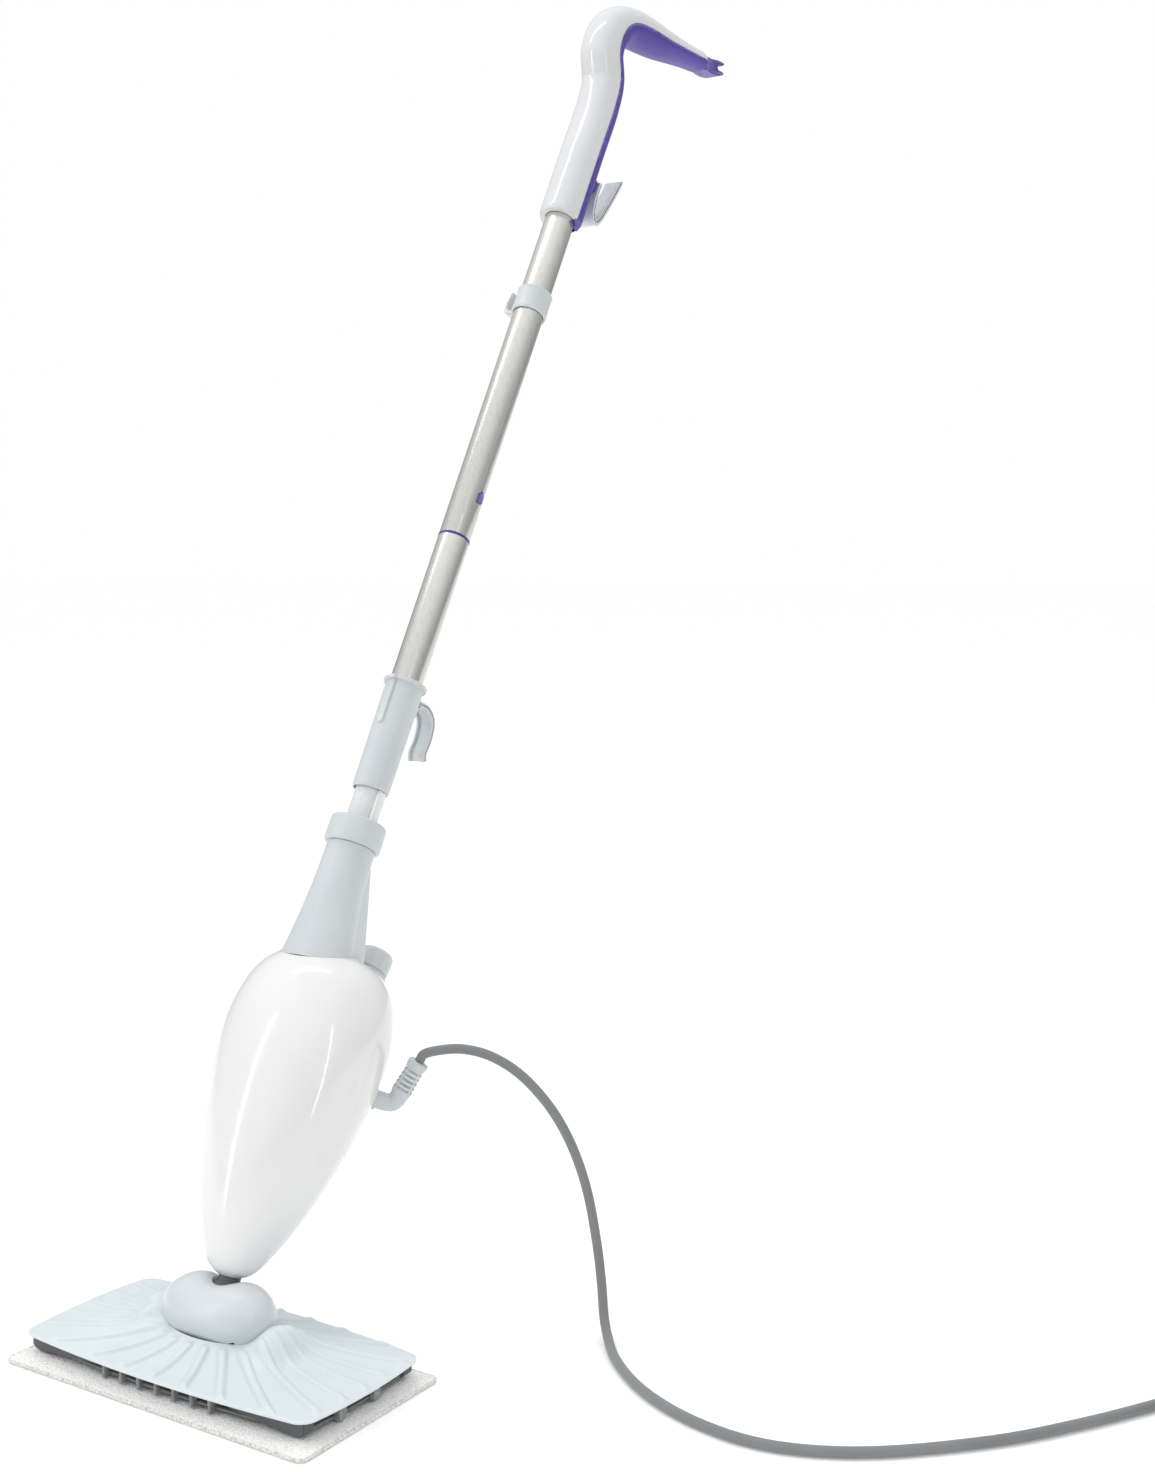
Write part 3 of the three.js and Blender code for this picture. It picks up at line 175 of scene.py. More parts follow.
# a turned piece about Z; a profile that starts and ends at one point makes a ring
def lathe(name, profile, sides=72):
    hollow = profile[0] == profile[-1]
    points = profile[:-1] if hollow else [p for p in profile]
    rings = []
    for radius, z in points:
        radius = max(radius, 0.001)
        rings.append([(radius * math.cos(2 * math.pi * i / sides),
                    radius * math.sin(2 * math.pi * i / sides), z) for i in range(sides)])
    return loftRings(name, rings, closed=hollow)


def rod(name, radius, bottom, top, sides=48):
    return lathe(name, [(radius, bottom), (radius, top)], sides)


def softProfile(profile, radius, steps=3):  # rounds each inner corner of a lathe profile
    result = [profile[0]]
    for before, corner, after in zip(profile, profile[1:], profile[2:]):
        a, b, c = Vector(before), Vector(corner), Vector(after)
        first, second = a - b, c - b
        reach = min(radius, first.length * 0.45, second.length * 0.45)
        start, end = b + first.normalized() * reach, b + second.normalized() * reach
        for i in range(steps + 1):
            t = i / steps
            result.append(tuple((start * (1 - t) + b * t) * (1 - t) + (b * (1 - t) + end * t) * t))
    result.append(profile[-1])
    return result


def softRing(name, profile, radius=0.5, sides=72):  # a turned ring with every corner rounded
    body = profile[:-1]
    wrapped = softProfile([body[-1]] + body + [body[0]], radius)[1:-1]
    return lathe(name, wrapped + [wrapped[0]], sides)


def smoothPath(points, perSpan=8):  # a centripetal curve through points
    points = [Vector(p) for p in points]
    points = [points[0] * 2 - points[1]] + points + [points[-1] * 2 - points[-2]]
    path = []
    for i in range(1, len(points) - 2):
        p0, p1, p2, p3 = points[i - 1:i + 3]
        t1 = (p1 - p0).length ** 0.5
        t2 = t1 + (p2 - p1).length ** 0.5
        t3 = t2 + (p3 - p2).length ** 0.5
        for k in range(perSpan):
            t = lerp(t1, t2, k / perSpan)
            a1 = p0 * ((t1 - t) / t1) + p1 * (t / t1)
            a2 = p1 * ((t2 - t) / (t2 - t1)) + p2 * ((t - t1) / (t2 - t1))
            a3 = p2 * ((t3 - t) / (t3 - t2)) + p3 * ((t - t2) / (t3 - t2))
            b1 = a1 * ((t2 - t) / t2) + a2 * (t / t2)
            b2 = a2 * ((t3 - t) / (t3 - t1)) + a3 * ((t - t1) / (t3 - t1))
            path.append(b1 * ((t2 - t) / (t2 - t1)) + b2 * ((t - t1) / (t2 - t1)))
    path.append(points[-2])
    return path


# carries a section along a path; section(share) gives [(across, out), ...] at a share of the length
def sweep(name, path, section):
    path = [Vector(p) for p in path]
    side = None
    rings = []
    for i, point in enumerate(path):
        along = (path[min(i + 1, len(path) - 1)] - path[max(i - 1, 0)]).normalized()
        if side is None:
            side = along.orthogonal().normalized()
        side = (side - along * side.dot(along)).normalized()
        out = along.cross(side)
        rings.append([point + side * a + out * b for a, b in section(i / (len(path) - 1))])
    return loftRings(name, rings)


def roundBar(name, path, radius, sides=24):
    thick = radius if callable(radius) else (lambda share: radius)
    return sweep(name, path, lambda share: roundedSection(thick(share), thick(share), 2, sides))


# a closed outline drawn up along Z, with its edges rounded
def prism(name, outline, low, high, soften=0.0, segments=3):
    count = len(outline)
    verts = [(x, y, low) for x, y in outline] + [(x, y, high) for x, y in outline]
    faces = [tuple(reversed(range(count))), tuple(range(count, 2 * count))]
    faces += [(i, (i + 1) % count, (i + 1) % count + count, i + count) for i in range(count)]
    obj = straightenNormals(newObject(name, verts, faces))
    if soften > 0:
        work = bmesh.new()
        work.from_mesh(obj.data)
        sharp = [e for e in work.edges if len(e.link_faces) == 2
            and e.calc_face_angle(0) > math.radians(25)]
        bmesh.ops.bevel(work, geom=sharp, offset=soften, segments=segments, affect="EDGES",
            clamp_overlap=True)
        work.to_mesh(obj.data)
        work.free()
    return obj


def box(name, size, centre, soften=0.0):
    halfX, halfY = size[0] / 2, size[1] / 2
    outline = [(-halfX, -halfY), (halfX, -halfY), (halfX, halfY), (-halfX, halfY)]
    return moved(prism(name, outline, -size[2] / 2, size[2] / 2, soften), Matrix.Translation(centre))


# an outline of (y, z) pairs drawn across X
def sidePrism(name, outline, width, x=0, soften=0.0, segments=3):
    obj = prism(name, outline, -width / 2, width / 2, soften, segments)
    return moved(obj, Matrix(((0, 0, 1, x), (1, 0, 0, 0), (0, 1, 0, 0), (0, 0, 0, 1))))


def moved(obj, matrix):
    obj.data.transform(matrix)
    return obj


def applyAll(obj):
    graph = bpy.context.evaluated_depsgraph_get()
    mesh = bpy.data.meshes.new_from_object(obj.evaluated_get(graph))
    old = obj.data
    obj.modifiers.clear()
    obj.data = mesh
    bpy.data.meshes.remove(old)
    return obj


def combine(obj, tool, operation="DIFFERENCE", keepTool=False):
    change = obj.modifiers.new("combine", "BOOLEAN")
    change.operation = operation
    change.solver = "EXACT"
    change.object = tool
    applyAll(obj)
    if not keepTool:
        bpy.data.objects.remove(tool)
    return obj


def merge(obj, *others):
    for other in others:
        combine(obj, other, "UNION")
    return obj


def copyOf(obj, name):
    twin = obj.copy()
    twin.data = obj.data.copy()
    twin.name = name
    scene.collection.objects.link(twin)
    return twin


# puts a finished piece in the frame, smooths it and hands it its finish
def placed(obj, place, body, material, replaced=(), crease=32):
    moved(obj, place)
    mesh = obj.data
    mesh.polygons.foreach_set("use_smooth", [True] * len(mesh.polygons))
    mesh.set_sharp_from_angle(angle=math.radians(crease))
    mesh.materials.clear()
    mesh.materials.append(material)
    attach(obj, body)
    if replaced:
        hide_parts(*replaced)
    return obj


def newGroup(name, inputs, outputs):
    group = bpy.data.node_groups.new(name, "ShaderNodeTree")
    for label, kind, value in inputs:
        group.interface.new_socket(label, in_out="INPUT", socket_type=kind).default_value = value
    for label, kind in outputs:
        group.interface.new_socket(label, in_out="OUTPUT", socket_type=kind)
    return group, group.nodes.new("NodeGroupInput"), group.nodes.new("NodeGroupOutput")


class Wiring:  # short ways to add and join nodes in one tree

    def __init__(self, tree):
        self.tree = tree

    def add(self, kind, values=None, **settings):
        node = self.tree.nodes.new(kind)
        for key, value in settings.items():
            setattr(node, key, value)
        for key, value in (values or {}).items():
            self.feed(value, node.inputs[key])
        return node

    def feed(self, value, socket):
        if isinstance(value, bpy.types.NodeSocket):
            self.tree.links.new(value, socket)
        else:
            socket.default_value = value

    def math(self, operation, first, second=0.0, third=0.0, clamp=False):
        node = self.add("ShaderNodeMath", {0: first, 1: second, 2: third}, operation=operation)
        node.use_clamp = clamp
        return node.outputs[0]

    def ramp(self, value, low, high, start=0.0, end=1.0):
        node = self.add("ShaderNodeMapRange",
            {"Value": value, "From Min": low, "From Max": high, "To Min": start, "To Max": end})
        return node.outputs["Result"]

    def blend(self, share, first, second, mode="MIX"):
        node = self.add("ShaderNodeMix", data_type="RGBA", blend_type=mode)
        self.feed(share, node.inputs[0])
        self.feed(first, node.inputs[6])
        self.feed(second, node.inputs[7])
        return node.outputs[2]

    def noise(self, vector, scale, detail=3.0, roughness=0.55):
        node = self.add("ShaderNodeTexNoise",
            {"Vector": vector, "Scale": scale, "Detail": detail, "Roughness": roughness})
        return node.outputs["Fac"]

    def place(self, turn=(0, 0, 0), stretch=(1, 1, 1)):
        source = self.add("ShaderNodeTexCoord").outputs["Object"]
        return self.add("ShaderNodeMapping",
            {"Vector": source, "Rotation": turn, "Scale": stretch}).outputs["Vector"]


# moulded plastic: slow colour drift, fine grain, faint handling marks and lighter rubbed edges
def makePlasticSkin():
    group, given, result = newGroup("plasticSkin", [
            ("Color", "NodeSocketColor", (0.8, 0.8, 0.8, 1)),
            ("Drift Color", "NodeSocketColor", (0.75, 0.75, 0.75, 1)),
            ("Drift", "NodeSocketFloat", 0.3), ("Rough", "NodeSocketFloat", 0.4),
            ("Marks", "NodeSocketFloat", 0.08),
            ("Grain Size", "NodeSocketFloat", 1500.0), ("Grain Depth", "NodeSocketFloat", 0.00004),
            ("Edge Wear", "NodeSocketFloat", 0.15),
        ], [("Color", "NodeSocketColor"), ("Roughness", "NodeSocketFloat"), ("Normal", "NodeSocketVector")])
    w = Wiring(group)
    spot = w.place()
    slow = w.ramp(w.noise(spot, 17.0, 2.0), 0.35, 0.7)
    drifted = w.blend(w.math("MULTIPLY", slow, given.outputs["Drift"], clamp=True),
        given.outputs["Color"], given.outputs["Drift Color"])
    edge = w.ramp(w.add("ShaderNodeNewGeometry").outputs["Pointiness"], 0.52, 0.62)
    broken = w.math("MULTIPLY", w.math("MULTIPLY", edge, w.noise(spot, 240.0, 4.0)),
        given.outputs["Edge Wear"], clamp=True)
    w.feed(w.blend(broken, drifted, (0.95, 0.95, 0.95, 1)), result.inputs["Color"])
    smear = w.noise(w.place(stretch=(1, 1, 0.25)), 70.0, 5.0, 0.65)
    spread = w.math("MULTIPLY", w.math("SUBTRACT", smear, 0.5), given.outputs["Marks"])
    w.feed(w.math("ADD", w.math("ADD", given.outputs["Rough"], spread), w.math("MULTIPLY", broken, 0.3),
            clamp=True), result.inputs["Roughness"])
    grain = w.add("ShaderNodeBump",
        {"Height": w.noise(spot, given.outputs["Grain Size"], 2.0),
            "Distance": given.outputs["Grain Depth"], "Strength": 1.0})
    w.feed(grain.outputs["Normal"], result.inputs["Normal"])
    return group


def makeBrushedGrain():  # metal drawn along the pole: long fine lines, a few deeper scratches
    group, given, result = newGroup("brushedGrain", [
            ("Color", "NodeSocketColor", (0.7, 0.7, 0.68, 1)),
            ("Line Color", "NodeSocketColor", (0.55, 0.55, 0.54, 1)),
            ("Rough", "NodeSocketFloat", 0.28), ("Line Depth", "NodeSocketFloat", 0.00002),
        ], [("Color", "NodeSocketColor"), ("Roughness", "NodeSocketFloat"), ("Normal", "NodeSocketVector")])
    w = Wiring(group)
    lines = w.noise(w.place((-lean, 0, 0), (1, 1, 0.012)), 2600.0, 3.0, 0.6)
    streak = w.ramp(w.noise(w.place((-lean, 0, 0), (1, 1, 0.02)), 420.0, 2.0), 0.5, 0.75)
    w.feed(w.blend(w.math("MULTIPLY", streak, 0.6), given.outputs["Color"], given.outputs["Line Color"]),
        result.inputs["Color"])
    w.feed(w.math("ADD", given.outputs["Rough"], w.math("MULTIPLY", w.math("SUBTRACT", lines, 0.5), 0.1),
            clamp=True), result.inputs["Roughness"])
    grain = w.add("ShaderNodeBump",
        {"Height": lines, "Distance": given.outputs["Line Depth"], "Strength": 1.0})
    w.feed(grain.outputs["Normal"], result.inputs["Normal"])
    return group


def makeTerryLoops():  # towelling: small loops with shadow between them and a slow drift of pile
    group, given, result = newGroup("terryLoops", [
            ("Loop Color", "NodeSocketColor", (0.9, 0.9, 0.88, 1)),
            ("Gap Color", "NodeSocketColor", (0.4, 0.4, 0.4, 1)),
            ("Loop Size", "NodeSocketFloat", 520.0), ("Gaps", "NodeSocketFloat", 0.5),
            ("Depth", "NodeSocketFloat", 0.0009),
        ], [("Color", "NodeSocketColor"), ("Roughness", "NodeSocketFloat"), ("Normal", "NodeSocketVector")])
    w = Wiring(group)
    spot = w.place()
    wander = w.add("ShaderNodeTexNoise", {"Vector": spot, "Scale": 300.0, "Detail": 2.0}).outputs["Color"]
    pushed = w.add("ShaderNodeVectorMath", {0: wander, 1: (0.0016, 0.0016, 0.0016)},
        operation="MULTIPLY").outputs[0]
    bent = w.add("ShaderNodeVectorMath", {0: spot, 1: pushed}, operation="ADD").outputs[0]
    loops = w.add("ShaderNodeTexVoronoi",
        {"Vector": bent, "Scale": given.outputs["Loop Size"]}).outputs["Distance"]
    between = w.ramp(loops, 0.42, 0.78)
    sparse = w.ramp(w.noise(spot, 620.0, 1.0), 0.52, 0.66)
    shade = w.math("MULTIPLY", w.math("MAXIMUM", w.math("MULTIPLY", between, 0.55), sparse),
        given.outputs["Gaps"], clamp=True)
    w.feed(w.blend(shade, given.outputs["Loop Color"], given.outputs["Gap Color"]), result.inputs["Color"])
    w.feed(w.ramp(loops, 0.0, 1.0, 0.85, 1.0), result.inputs["Roughness"])
    pile = w.math("SUBTRACT", w.noise(spot, 900.0, 3.0), w.math("MULTIPLY", loops, 0.8))
    grain = w.add("ShaderNodeBump", {"Height": pile, "Distance": given.outputs["Depth"], "Strength": 1.0})
    w.feed(grain.outputs["Normal"], result.inputs["Normal"])
    return group


groups = {"plastic": makePlasticSkin(), "metal": makeBrushedGrain(), "terry": makeTerryLoops()}

finishes = {
    "whiteShell": {"group": "plastic", "Color": "#e2e2e2", "Drift Color": "#dcdcdd", "Drift": 0.5,
        "Rough": 0.16, "Marks": 0.06,
        "Grain Size": 420.0, "Grain Depth": 0.00002, "Edge Wear": 0.0,
        "shader": {"Coat Weight": 0.5, "Coat Roughness": 0.06}},
    "handleGloss": {"group": "plastic", "Color": "#d0d1d3", "Drift Color": "#c9cacd", "Drift": 0.5,
        "Rough": 0.18, "Marks": 0.08,
        "Grain Size": 520.0, "Grain Depth": 0.00002, "Edge Wear": 0.0,
        "shader": {"Coat Weight": 0.5, "Coat Roughness": 0.06}},
    "lightGrey": {"group": "plastic", "Color": "#c6cbce", "Drift Color": "#bcc2c5", "Drift": 0.6,
        "Rough": 0.36, "Marks": 0.12,
        "Grain Size": 1700.0, "Grain Depth": 0.00005, "Edge Wear": 0.5, "shader": {}},
    "domeGrey": {"group": "plastic", "Color": "#ccd2d5", "Drift Color": "#c2c9cc", "Drift": 0.5,
        "Rough": 0.3, "Marks": 0.1,
        "Grain Size": 1300.0, "Grain Depth": 0.00003, "Edge Wear": 0.0,
        "shader": {"Coat Weight": 0.2, "Coat Roughness": 0.2}},
    "coverGrey": {"group": "plastic", "Color": "#d2dade", "Drift Color": "#cad3d7", "Drift": 0.6,
        "Rough": 0.34, "Marks": 0.12,
        "Grain Size": 1500.0, "Grain Depth": 0.00004, "Edge Wear": 0.3,
        "shader": {"Coat Weight": 0.15, "Coat Roughness": 0.25}},
    "darkGrey": {"group": "plastic", "Color": "#585a5c", "Drift Color": "#4f5153", "Drift": 0.7,
        "Rough": 0.52, "Marks": 0.16,
        "Grain Size": 1900.0, "Grain Depth": 0.00007, "Edge Wear": 0.35, "shader": {}},
    "purple": {"group": "plastic", "Color": "#452f93", "Drift Color": "#3b2785", "Drift": 0.6,
        "Rough": 0.4, "Marks": 0.14,
        "Grain Size": 1800.0, "Grain Depth": 0.00006, "Edge Wear": 0.25,
        "shader": {"Specular IOR Level": 0.45}},
    "clearPlastic": {"group": "plastic", "Color": "#dfe8ea", "Drift Color": "#d3dfe2", "Drift": 0.5,
        "Rough": 0.2, "Marks": 0.1,
        "Grain Size": 900.0, "Grain Depth": 0.00002, "Edge Wear": 0.1,
        "shader": {"Alpha": 0.55}},
    "silicone": {"group": "plastic", "Color": "#e4e2da", "Drift Color": "#d6d3c8", "Drift": 0.6,
        "Rough": 0.55, "Marks": 0.1,
        "Grain Size": 1400.0, "Grain Depth": 0.00004, "Edge Wear": 0.0,
        "shader": {"Sheen Weight": 0.2}},
    "blackRubber": {"group": "plastic", "Color": "#2b2b2d", "Drift Color": "#343437", "Drift": 0.6,
        "Rough": 0.7, "Marks": 0.15,
        "Grain Size": 1500.0, "Grain Depth": 0.00008, "Edge Wear": 0.1, "shader": {}},
    "cordGrey": {"group": "plastic", "Color": "#7e8081", "Drift Color": "#737576", "Drift": 0.6,
        "Rough": 0.56, "Marks": 0.14,
        "Grain Size": 1600.0, "Grain Depth": 0.00006, "Edge Wear": 0.0,
        "shader": {"Sheen Weight": 0.15}},
    "steel": {"group": "metal", "Color": "#d2d2cf", "Line Color": "#c4c4c1", "Rough": 0.24,
        "Line Depth": 0.00002, "shader": {"Metallic": 1.0}},
    "aluminium": {"group": "metal", "Color": "#b9bcc0", "Line Color": "#a3a6aa", "Rough": 0.42,
        "Line Depth": 0.00003, "shader": {"Metallic": 1.0}},
    "brass": {"group": "metal", "Color": "#c7a552", "Line Color": "#a98634", "Rough": 0.3,
        "Line Depth": 0.00002, "shader": {"Metallic": 1.0}},
    "towel": {"group": "terry", "Loop Color": "#fbfbf9", "Gap Color": "#d6d6d4", "Loop Size": 520.0,
        "Gaps": 0.7, "Depth": 0.0005, "shader": {"Sheen Weight": 0.35}},
    "towelEdge": {"group": "terry", "Loop Color": "#e6e6e3", "Gap Color": "#8d8d8d", "Loop Size": 760.0,
        "Gaps": 0.6, "Depth": 0.0004, "shader": {"Sheen Weight": 0.2}},
    "hookTape": {"group": "terry", "Loop Color": "#3c3c3f", "Gap Color": "#18181a", "Loop Size": 900.0,
        "Gaps": 0.8, "Depth": 0.0005, "shader": {"Sheen Weight": 0.1}},
}


def linearColor(text):
    values = [int(text[i:i + 2], 16) / 255 for i in (1, 3, 5)]
    return (*[v / 12.92 if v <= 0.04045 else ((v + 0.055) / 1.055) ** 2.4 for v in values], 1)


def makeMaterial(name, finish):
    material = bpy.data.materials.new(name)
    material.use_nodes = True
    tree = material.node_tree
    shader = tree.nodes["Principled BSDF"]
    effect = tree.nodes.new("ShaderNodeGroup")
    effect.node_tree = groups[finish["group"]]
    for key, value in finish.items():
        if key in effect.inputs:
            effect.inputs[key].default_value = linearColor(value) if isinstance(value, str) else value
    for source, target in (("Color", "Base Color"), ("Roughness", "Roughness"), ("Normal", "Normal")):
        tree.links.new(effect.outputs[source], shader.inputs[target])
    for key, value in finish["shader"].items():
        shader.inputs[key].default_value = value
    material.diffuse_color = linearColor(finish.get("Color") or finish["Loop Color"])
    return material


materials = {name: makeMaterial(name, finish) for name, finish in finishes.items()}


def finished(obj, place, body, finish, replaced=(), crease=32):
    return placed(obj, place, body, materials[finish], replaced, crease)


addCamera()
addLights()
print("camera, light and materials ready")


cordSettings = {
    "radius": 3.6,
    "exitAt": (77, 35, 203.5), "exitFrom": (68, 38.5, 184),  # end of the strain relief, in the unit's frame
    "route": [
        (90, 140.5, 211.2), (103, 149, 211.8), (120, 159, 207), (138, 170, 194), (156, 181, 171),
        (168, 190, 145),
        (178, 197, 111), (185, 201, 69), (189, 202, 36), (195, 196, 14), (209, 180, 5.2), (229, 158, 4),
        (270, 127, 4),
        (321, 107, 4), (372, 104, 4), (426, 126, 4), (494, 188, 4), (534, 242, 4), (566, 294, 4),
        (580.3, 321, 4),
    ],
    "coil": {"centre": (642, 323), "outer": 53.8, "inner": 32.2, "pitch": 7.2, "layers": 4,
        "startAngle": 150, "stepAngle": 62},
    "plugAt": (630, 342, 42.7), "plugTurn": 63, "plugLead": (50, 35),
}


def coilPath():
    coil = cordSettings["coil"]
    angle, height = math.radians(coil["startAngle"]), 4.0
    small = math.radians(6)
    step = math.radians(coil["stepAngle"])
    points = []
    for layer in range(coil["layers"]):
        inward = layer % 2 == 0
        start, end = (coil["outer"], coil["inner"]) if inward else (coil["inner"], coil["outer"])
        travelled, turn = 0.0, (coil["outer"] - coil["inner"]) / coil["pitch"] * 2 * math.pi
        while travelled < turn:
            points.append((lerp(start, end, travelled / turn), angle, height))
            angle -= small
            travelled += small
        if layer < coil["layers"] - 1:
            risen = 0.0
            while risen < step:
                points.append((end, angle, height + coil["pitch"] * easeBetween(risen, 0, step)))
                angle -= small
                risen += small
            height += coil["pitch"]
    x, y = coil["centre"]
    return [Vector((x + r * math.cos(a), y + r * math.sin(a), z)) for r, a, z in points]


def makeCord():
    exitPoint = (unitFrame @ Vector(cordSettings["exitAt"])) * 1000
    before = (unitFrame @ Vector(cordSettings["exitFrom"])) * 1000
    away = (exitPoint - before).normalized()
    lead = [exitPoint + away * 0.6, exitPoint + away * 6]
    coil = coilPath()
    plugEnd = Vector(cordSettings["plugAt"])
    heading = Vector((math.cos(math.radians(cordSettings["plugTurn"])),
            math.sin(math.radians(cordSettings["plugTurn"])), 0))
    last = plugEnd - heading * 25.5
    end, tangent = coil[-1], (coil[-1] - coil[-2]).normalized()
    leave, arrive = end + tangent * cordSettings["plugLead"][0], last - heading * cordSettings["plugLead"][1]
    swing = []
    for i in range(1, 25):
        t = i / 24
        u = 1 - t
        spot = end * u ** 3 + leave * 3 * t * u ** 2 + arrive * 3 * t * t * u + last * t ** 3
        spot.z = lerp(end.z, last.z, easeBetween(t, 0, 0.9))
        swing.append(spot)
    path = smoothPath(lead + [Vector(p) for p in cordSettings["route"]], 6)[:-1] + coil[1:] + swing
    path = [p / 1000 for p in path]
    curve = bpy.data.curves.new("powerCord", "CURVE")
    curve.dimensions = "3D"
    curve.bevel_depth = cordSettings["radius"] / 1000
    curve.bevel_resolution = 5
    curve.use_fill_caps = True
    line = curve.splines.new("POLY")
    line.points.add(len(path) - 1)
    for spot, point in zip(line.points, path):
        spot.co = (*point, 1)
    cord = bpy.data.objects.new("powerCord", curve)
    scene.collection.objects.link(cord)
    curve.materials.append(materials["cordGrey"])
    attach(cord, "main_unit")
    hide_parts("power_cord", "cord_coil")
    length = sum((b - a).length for a, b in zip(path, path[1:]))
    plug = makePlug()
    tie = makeCordTie()
    tuple(path[0])
    print("cord made,", round(length, 2), "m")


plugSettings = {"width": 26, "height": 18, "length": 34, "relief": 26}


def makePlug():
    width, height, length, relief = (plugSettings[k] for k in ("width", "height", "length", "relief"))
    rings = []
    rows = 34
    for i in range(rows + 1):
        z = length * i / rows
        grow = 0.42 + 0.58 * easeBetween(z, -1, 11)
        close = 1 - 0.06 * easeBetween(z, length - 2.5, length)
        ridge = 1 - 0.05 * max(0, math.sin((z - 8) * 2 * math.pi / 3.6)) * easeBetween(z, 9,
            11) * (1 - easeBetween(z, 24, 26))
        rings.append([(x, y, z) for x, y in roundedSection(width / 2 * grow * close * ridge,
                    height / 2 * (0.5 + 0.5 * grow) * close * ridge, 2.6, 48)])
    plug = loftRings("plugBody", rings)
    sleeve = lathe("plugRelief", softProfile([(0, -relief), (4.6, -relief), (5.6, 1), (0, 2)], 0.8), 40)
    merge(plug, sleeve)
    for i in range(4):
        z = -relief + 5 + i * 4.6
        for side in (-1, 1):
            combine(plug, box("slot", (12, 3, 1.5), (0, side * 5.6, z)))
    turn = Matrix.Translation((632, 327, 42.7)) @ Matrix.Rotation(math.radians(63), 4,
        "Z") @ Matrix.Rotation(math.pi / 2, 4, "Y")
    return finished(plug, floorFrame @ turn, "main_unit", "cordGrey", ["plug_body"])


def makeCordTie():
    coil = cordSettings["coil"]
    inner, outer = coil["inner"] - 4.4, coil["outer"] + 4.4
    loop = [(inner, 0.5), (inner, 29.9), (outer, 29.9), (outer, 0.5)]
    path = []
    for (ax, az), (bx, bz) in zip(loop, loop[1:] + loop[:1]):
        path += [(lerp(ax, bx, k / 6), lerp(az, bz, k / 6)) for k in range(6)]
    rings = []
    for across in (-4.5, 4.5):
        rings.append(([(r, across, z) for r, z in path]))
    verts = rings[0] + rings[1]
    count = len(path)
    faces = [(i, (i + 1) % count, (i + 1) % count + count, i + count) for i in range(count)]
    tie = newObject("cordTie", verts, faces)
    thick = tie.modifiers.new("thick", "SOLIDIFY")
    thick.thickness = 0.8
    thick.offset = 0
    applyAll(tie)
    straightenNormals(tie)
    turn = Matrix.Translation((*coil["centre"], 0.1)) @ Matrix.Rotation(math.radians(-70), 4, "Z")
    return finished(tie, floorFrame @ turn, "main_unit", "cordGrey")


makeCord()


body = {"width": 132, "depth": 108, "bottom": 21.6, "top": 261, "centre": -2.5, "wall": 2.4, "seam": 0.55,
    "gap": 0.35}
bodyShares = [(0, 0), (0.25, 0.032), (0.42, 0.1), (0.63, 0.23), (0.85, 0.42), (0.975, 0.6),
    # half width against height
    (1, 0.73), (0.945, 0.83), (0.83, 0.915), (0.64, 0.972), (0.42, 1)]


def splineThrough(points, steps):
    padded = [points[0]] + points + [points[-1]]
    curve = []
    for i in range(1, len(padded) - 2):
        p0, p1, p2, p3 = padded[i - 1:i + 3]
        for k in range(steps):
            t = k / steps
            curve.append(tuple(0.5 * (2 * b + (c - a) * t + (2 * a - 5 * b + 4 * c - d) * t * t
                        + (3 * b - a - 3 * c + d) * t ** 3)
                    for a, b, c, d in zip(p0, p1, p2, p3)))
    curve.append(points[-1])
    return curve


bodyCurve = splineThrough(bodyShares, 24)


def bodyHalfAt(z):
    height = (z - body["bottom"]) / (body["top"] - body["bottom"])
    for (s0, h0), (s1, h1) in zip(bodyCurve, bodyCurve[1:]):
        if h0 <= height <= h1 and h1 > h0:
            return lerp(s0, s1, (height - h0) / (h1 - h0))
    return bodyCurve[-1][0] if height > 0.5 else 0.0


def bodyForm(name, inset, rows=72, sides=112):
    bottom, top = body["bottom"] + inset, body["top"] - inset
    rings = []
    for i in range(rows + 1):
        z = lerp(bottom, top, (1 - math.cos(math.pi * i / rows)) / 2)
        share = max(bodyHalfAt(z), 0.05)
        rings.append(levelRing(max(body["width"] / 2 * share - inset, 1.5),
                max(body["depth"] / 2 * share - inset, 1.5), body["centre"], z, 2.1, sides))
    return loftRings(name, rings)


def behindSeam(name, shift):
    outline = []
    for i in range(41):
        z = body["bottom"] - 5 + (body["top"] - body["bottom"] + 20) * i / 40
        inside = min(max(z, body["bottom"] + 2), body["top"] - 2)
        outline.append((body["centre"] + body["seam"] * body["depth"] / 2 * bodyHalfAt(inside) + shift, z))
    outline += [(body["depth"] * 2, body["top"] + 15), (body["depth"] * 2, body["bottom"] - 5)]
    return sidePrism(name, outline, body["width"] * 2)


neck = {"bottom": 250, "top": 341.3, "halfX": 31, "halfY": 22.5, "topRadius": 18.5, "shift": 3, "wall": 2.2,
    "rib": {"bottom": 256, "top": 331, "rearBase": 18, "rearTop": 0, "halfBase": 20, "halfTop": 11}}


def neckForm(name, grow, reach):
    rings = []
    rows = 40
    for i in range(-2, rows + 3):
        t = min(max(i / rows, 0), 1)
        z = lerp(neck["bottom"], neck["top"],
            t) + (reach * i / 2 if i < 0 else reach * (i - rows) / 2 if i > rows else 0)
        if reach == 0 and not 0 <= i <= rows:
            continue
        flare = (1 - t) ** 2
        halfX = neck["topRadius"] + (neck["halfX"] - neck["topRadius"]) * flare + grow
        halfY = neck["topRadius"] + (neck["halfY"] - neck["topRadius"]) * flare + grow
        rings.append(levelRing(halfX, halfY, -poleOffset + neck["shift"] * flare, z, 2, 72))
    return loftRings(name, rings)


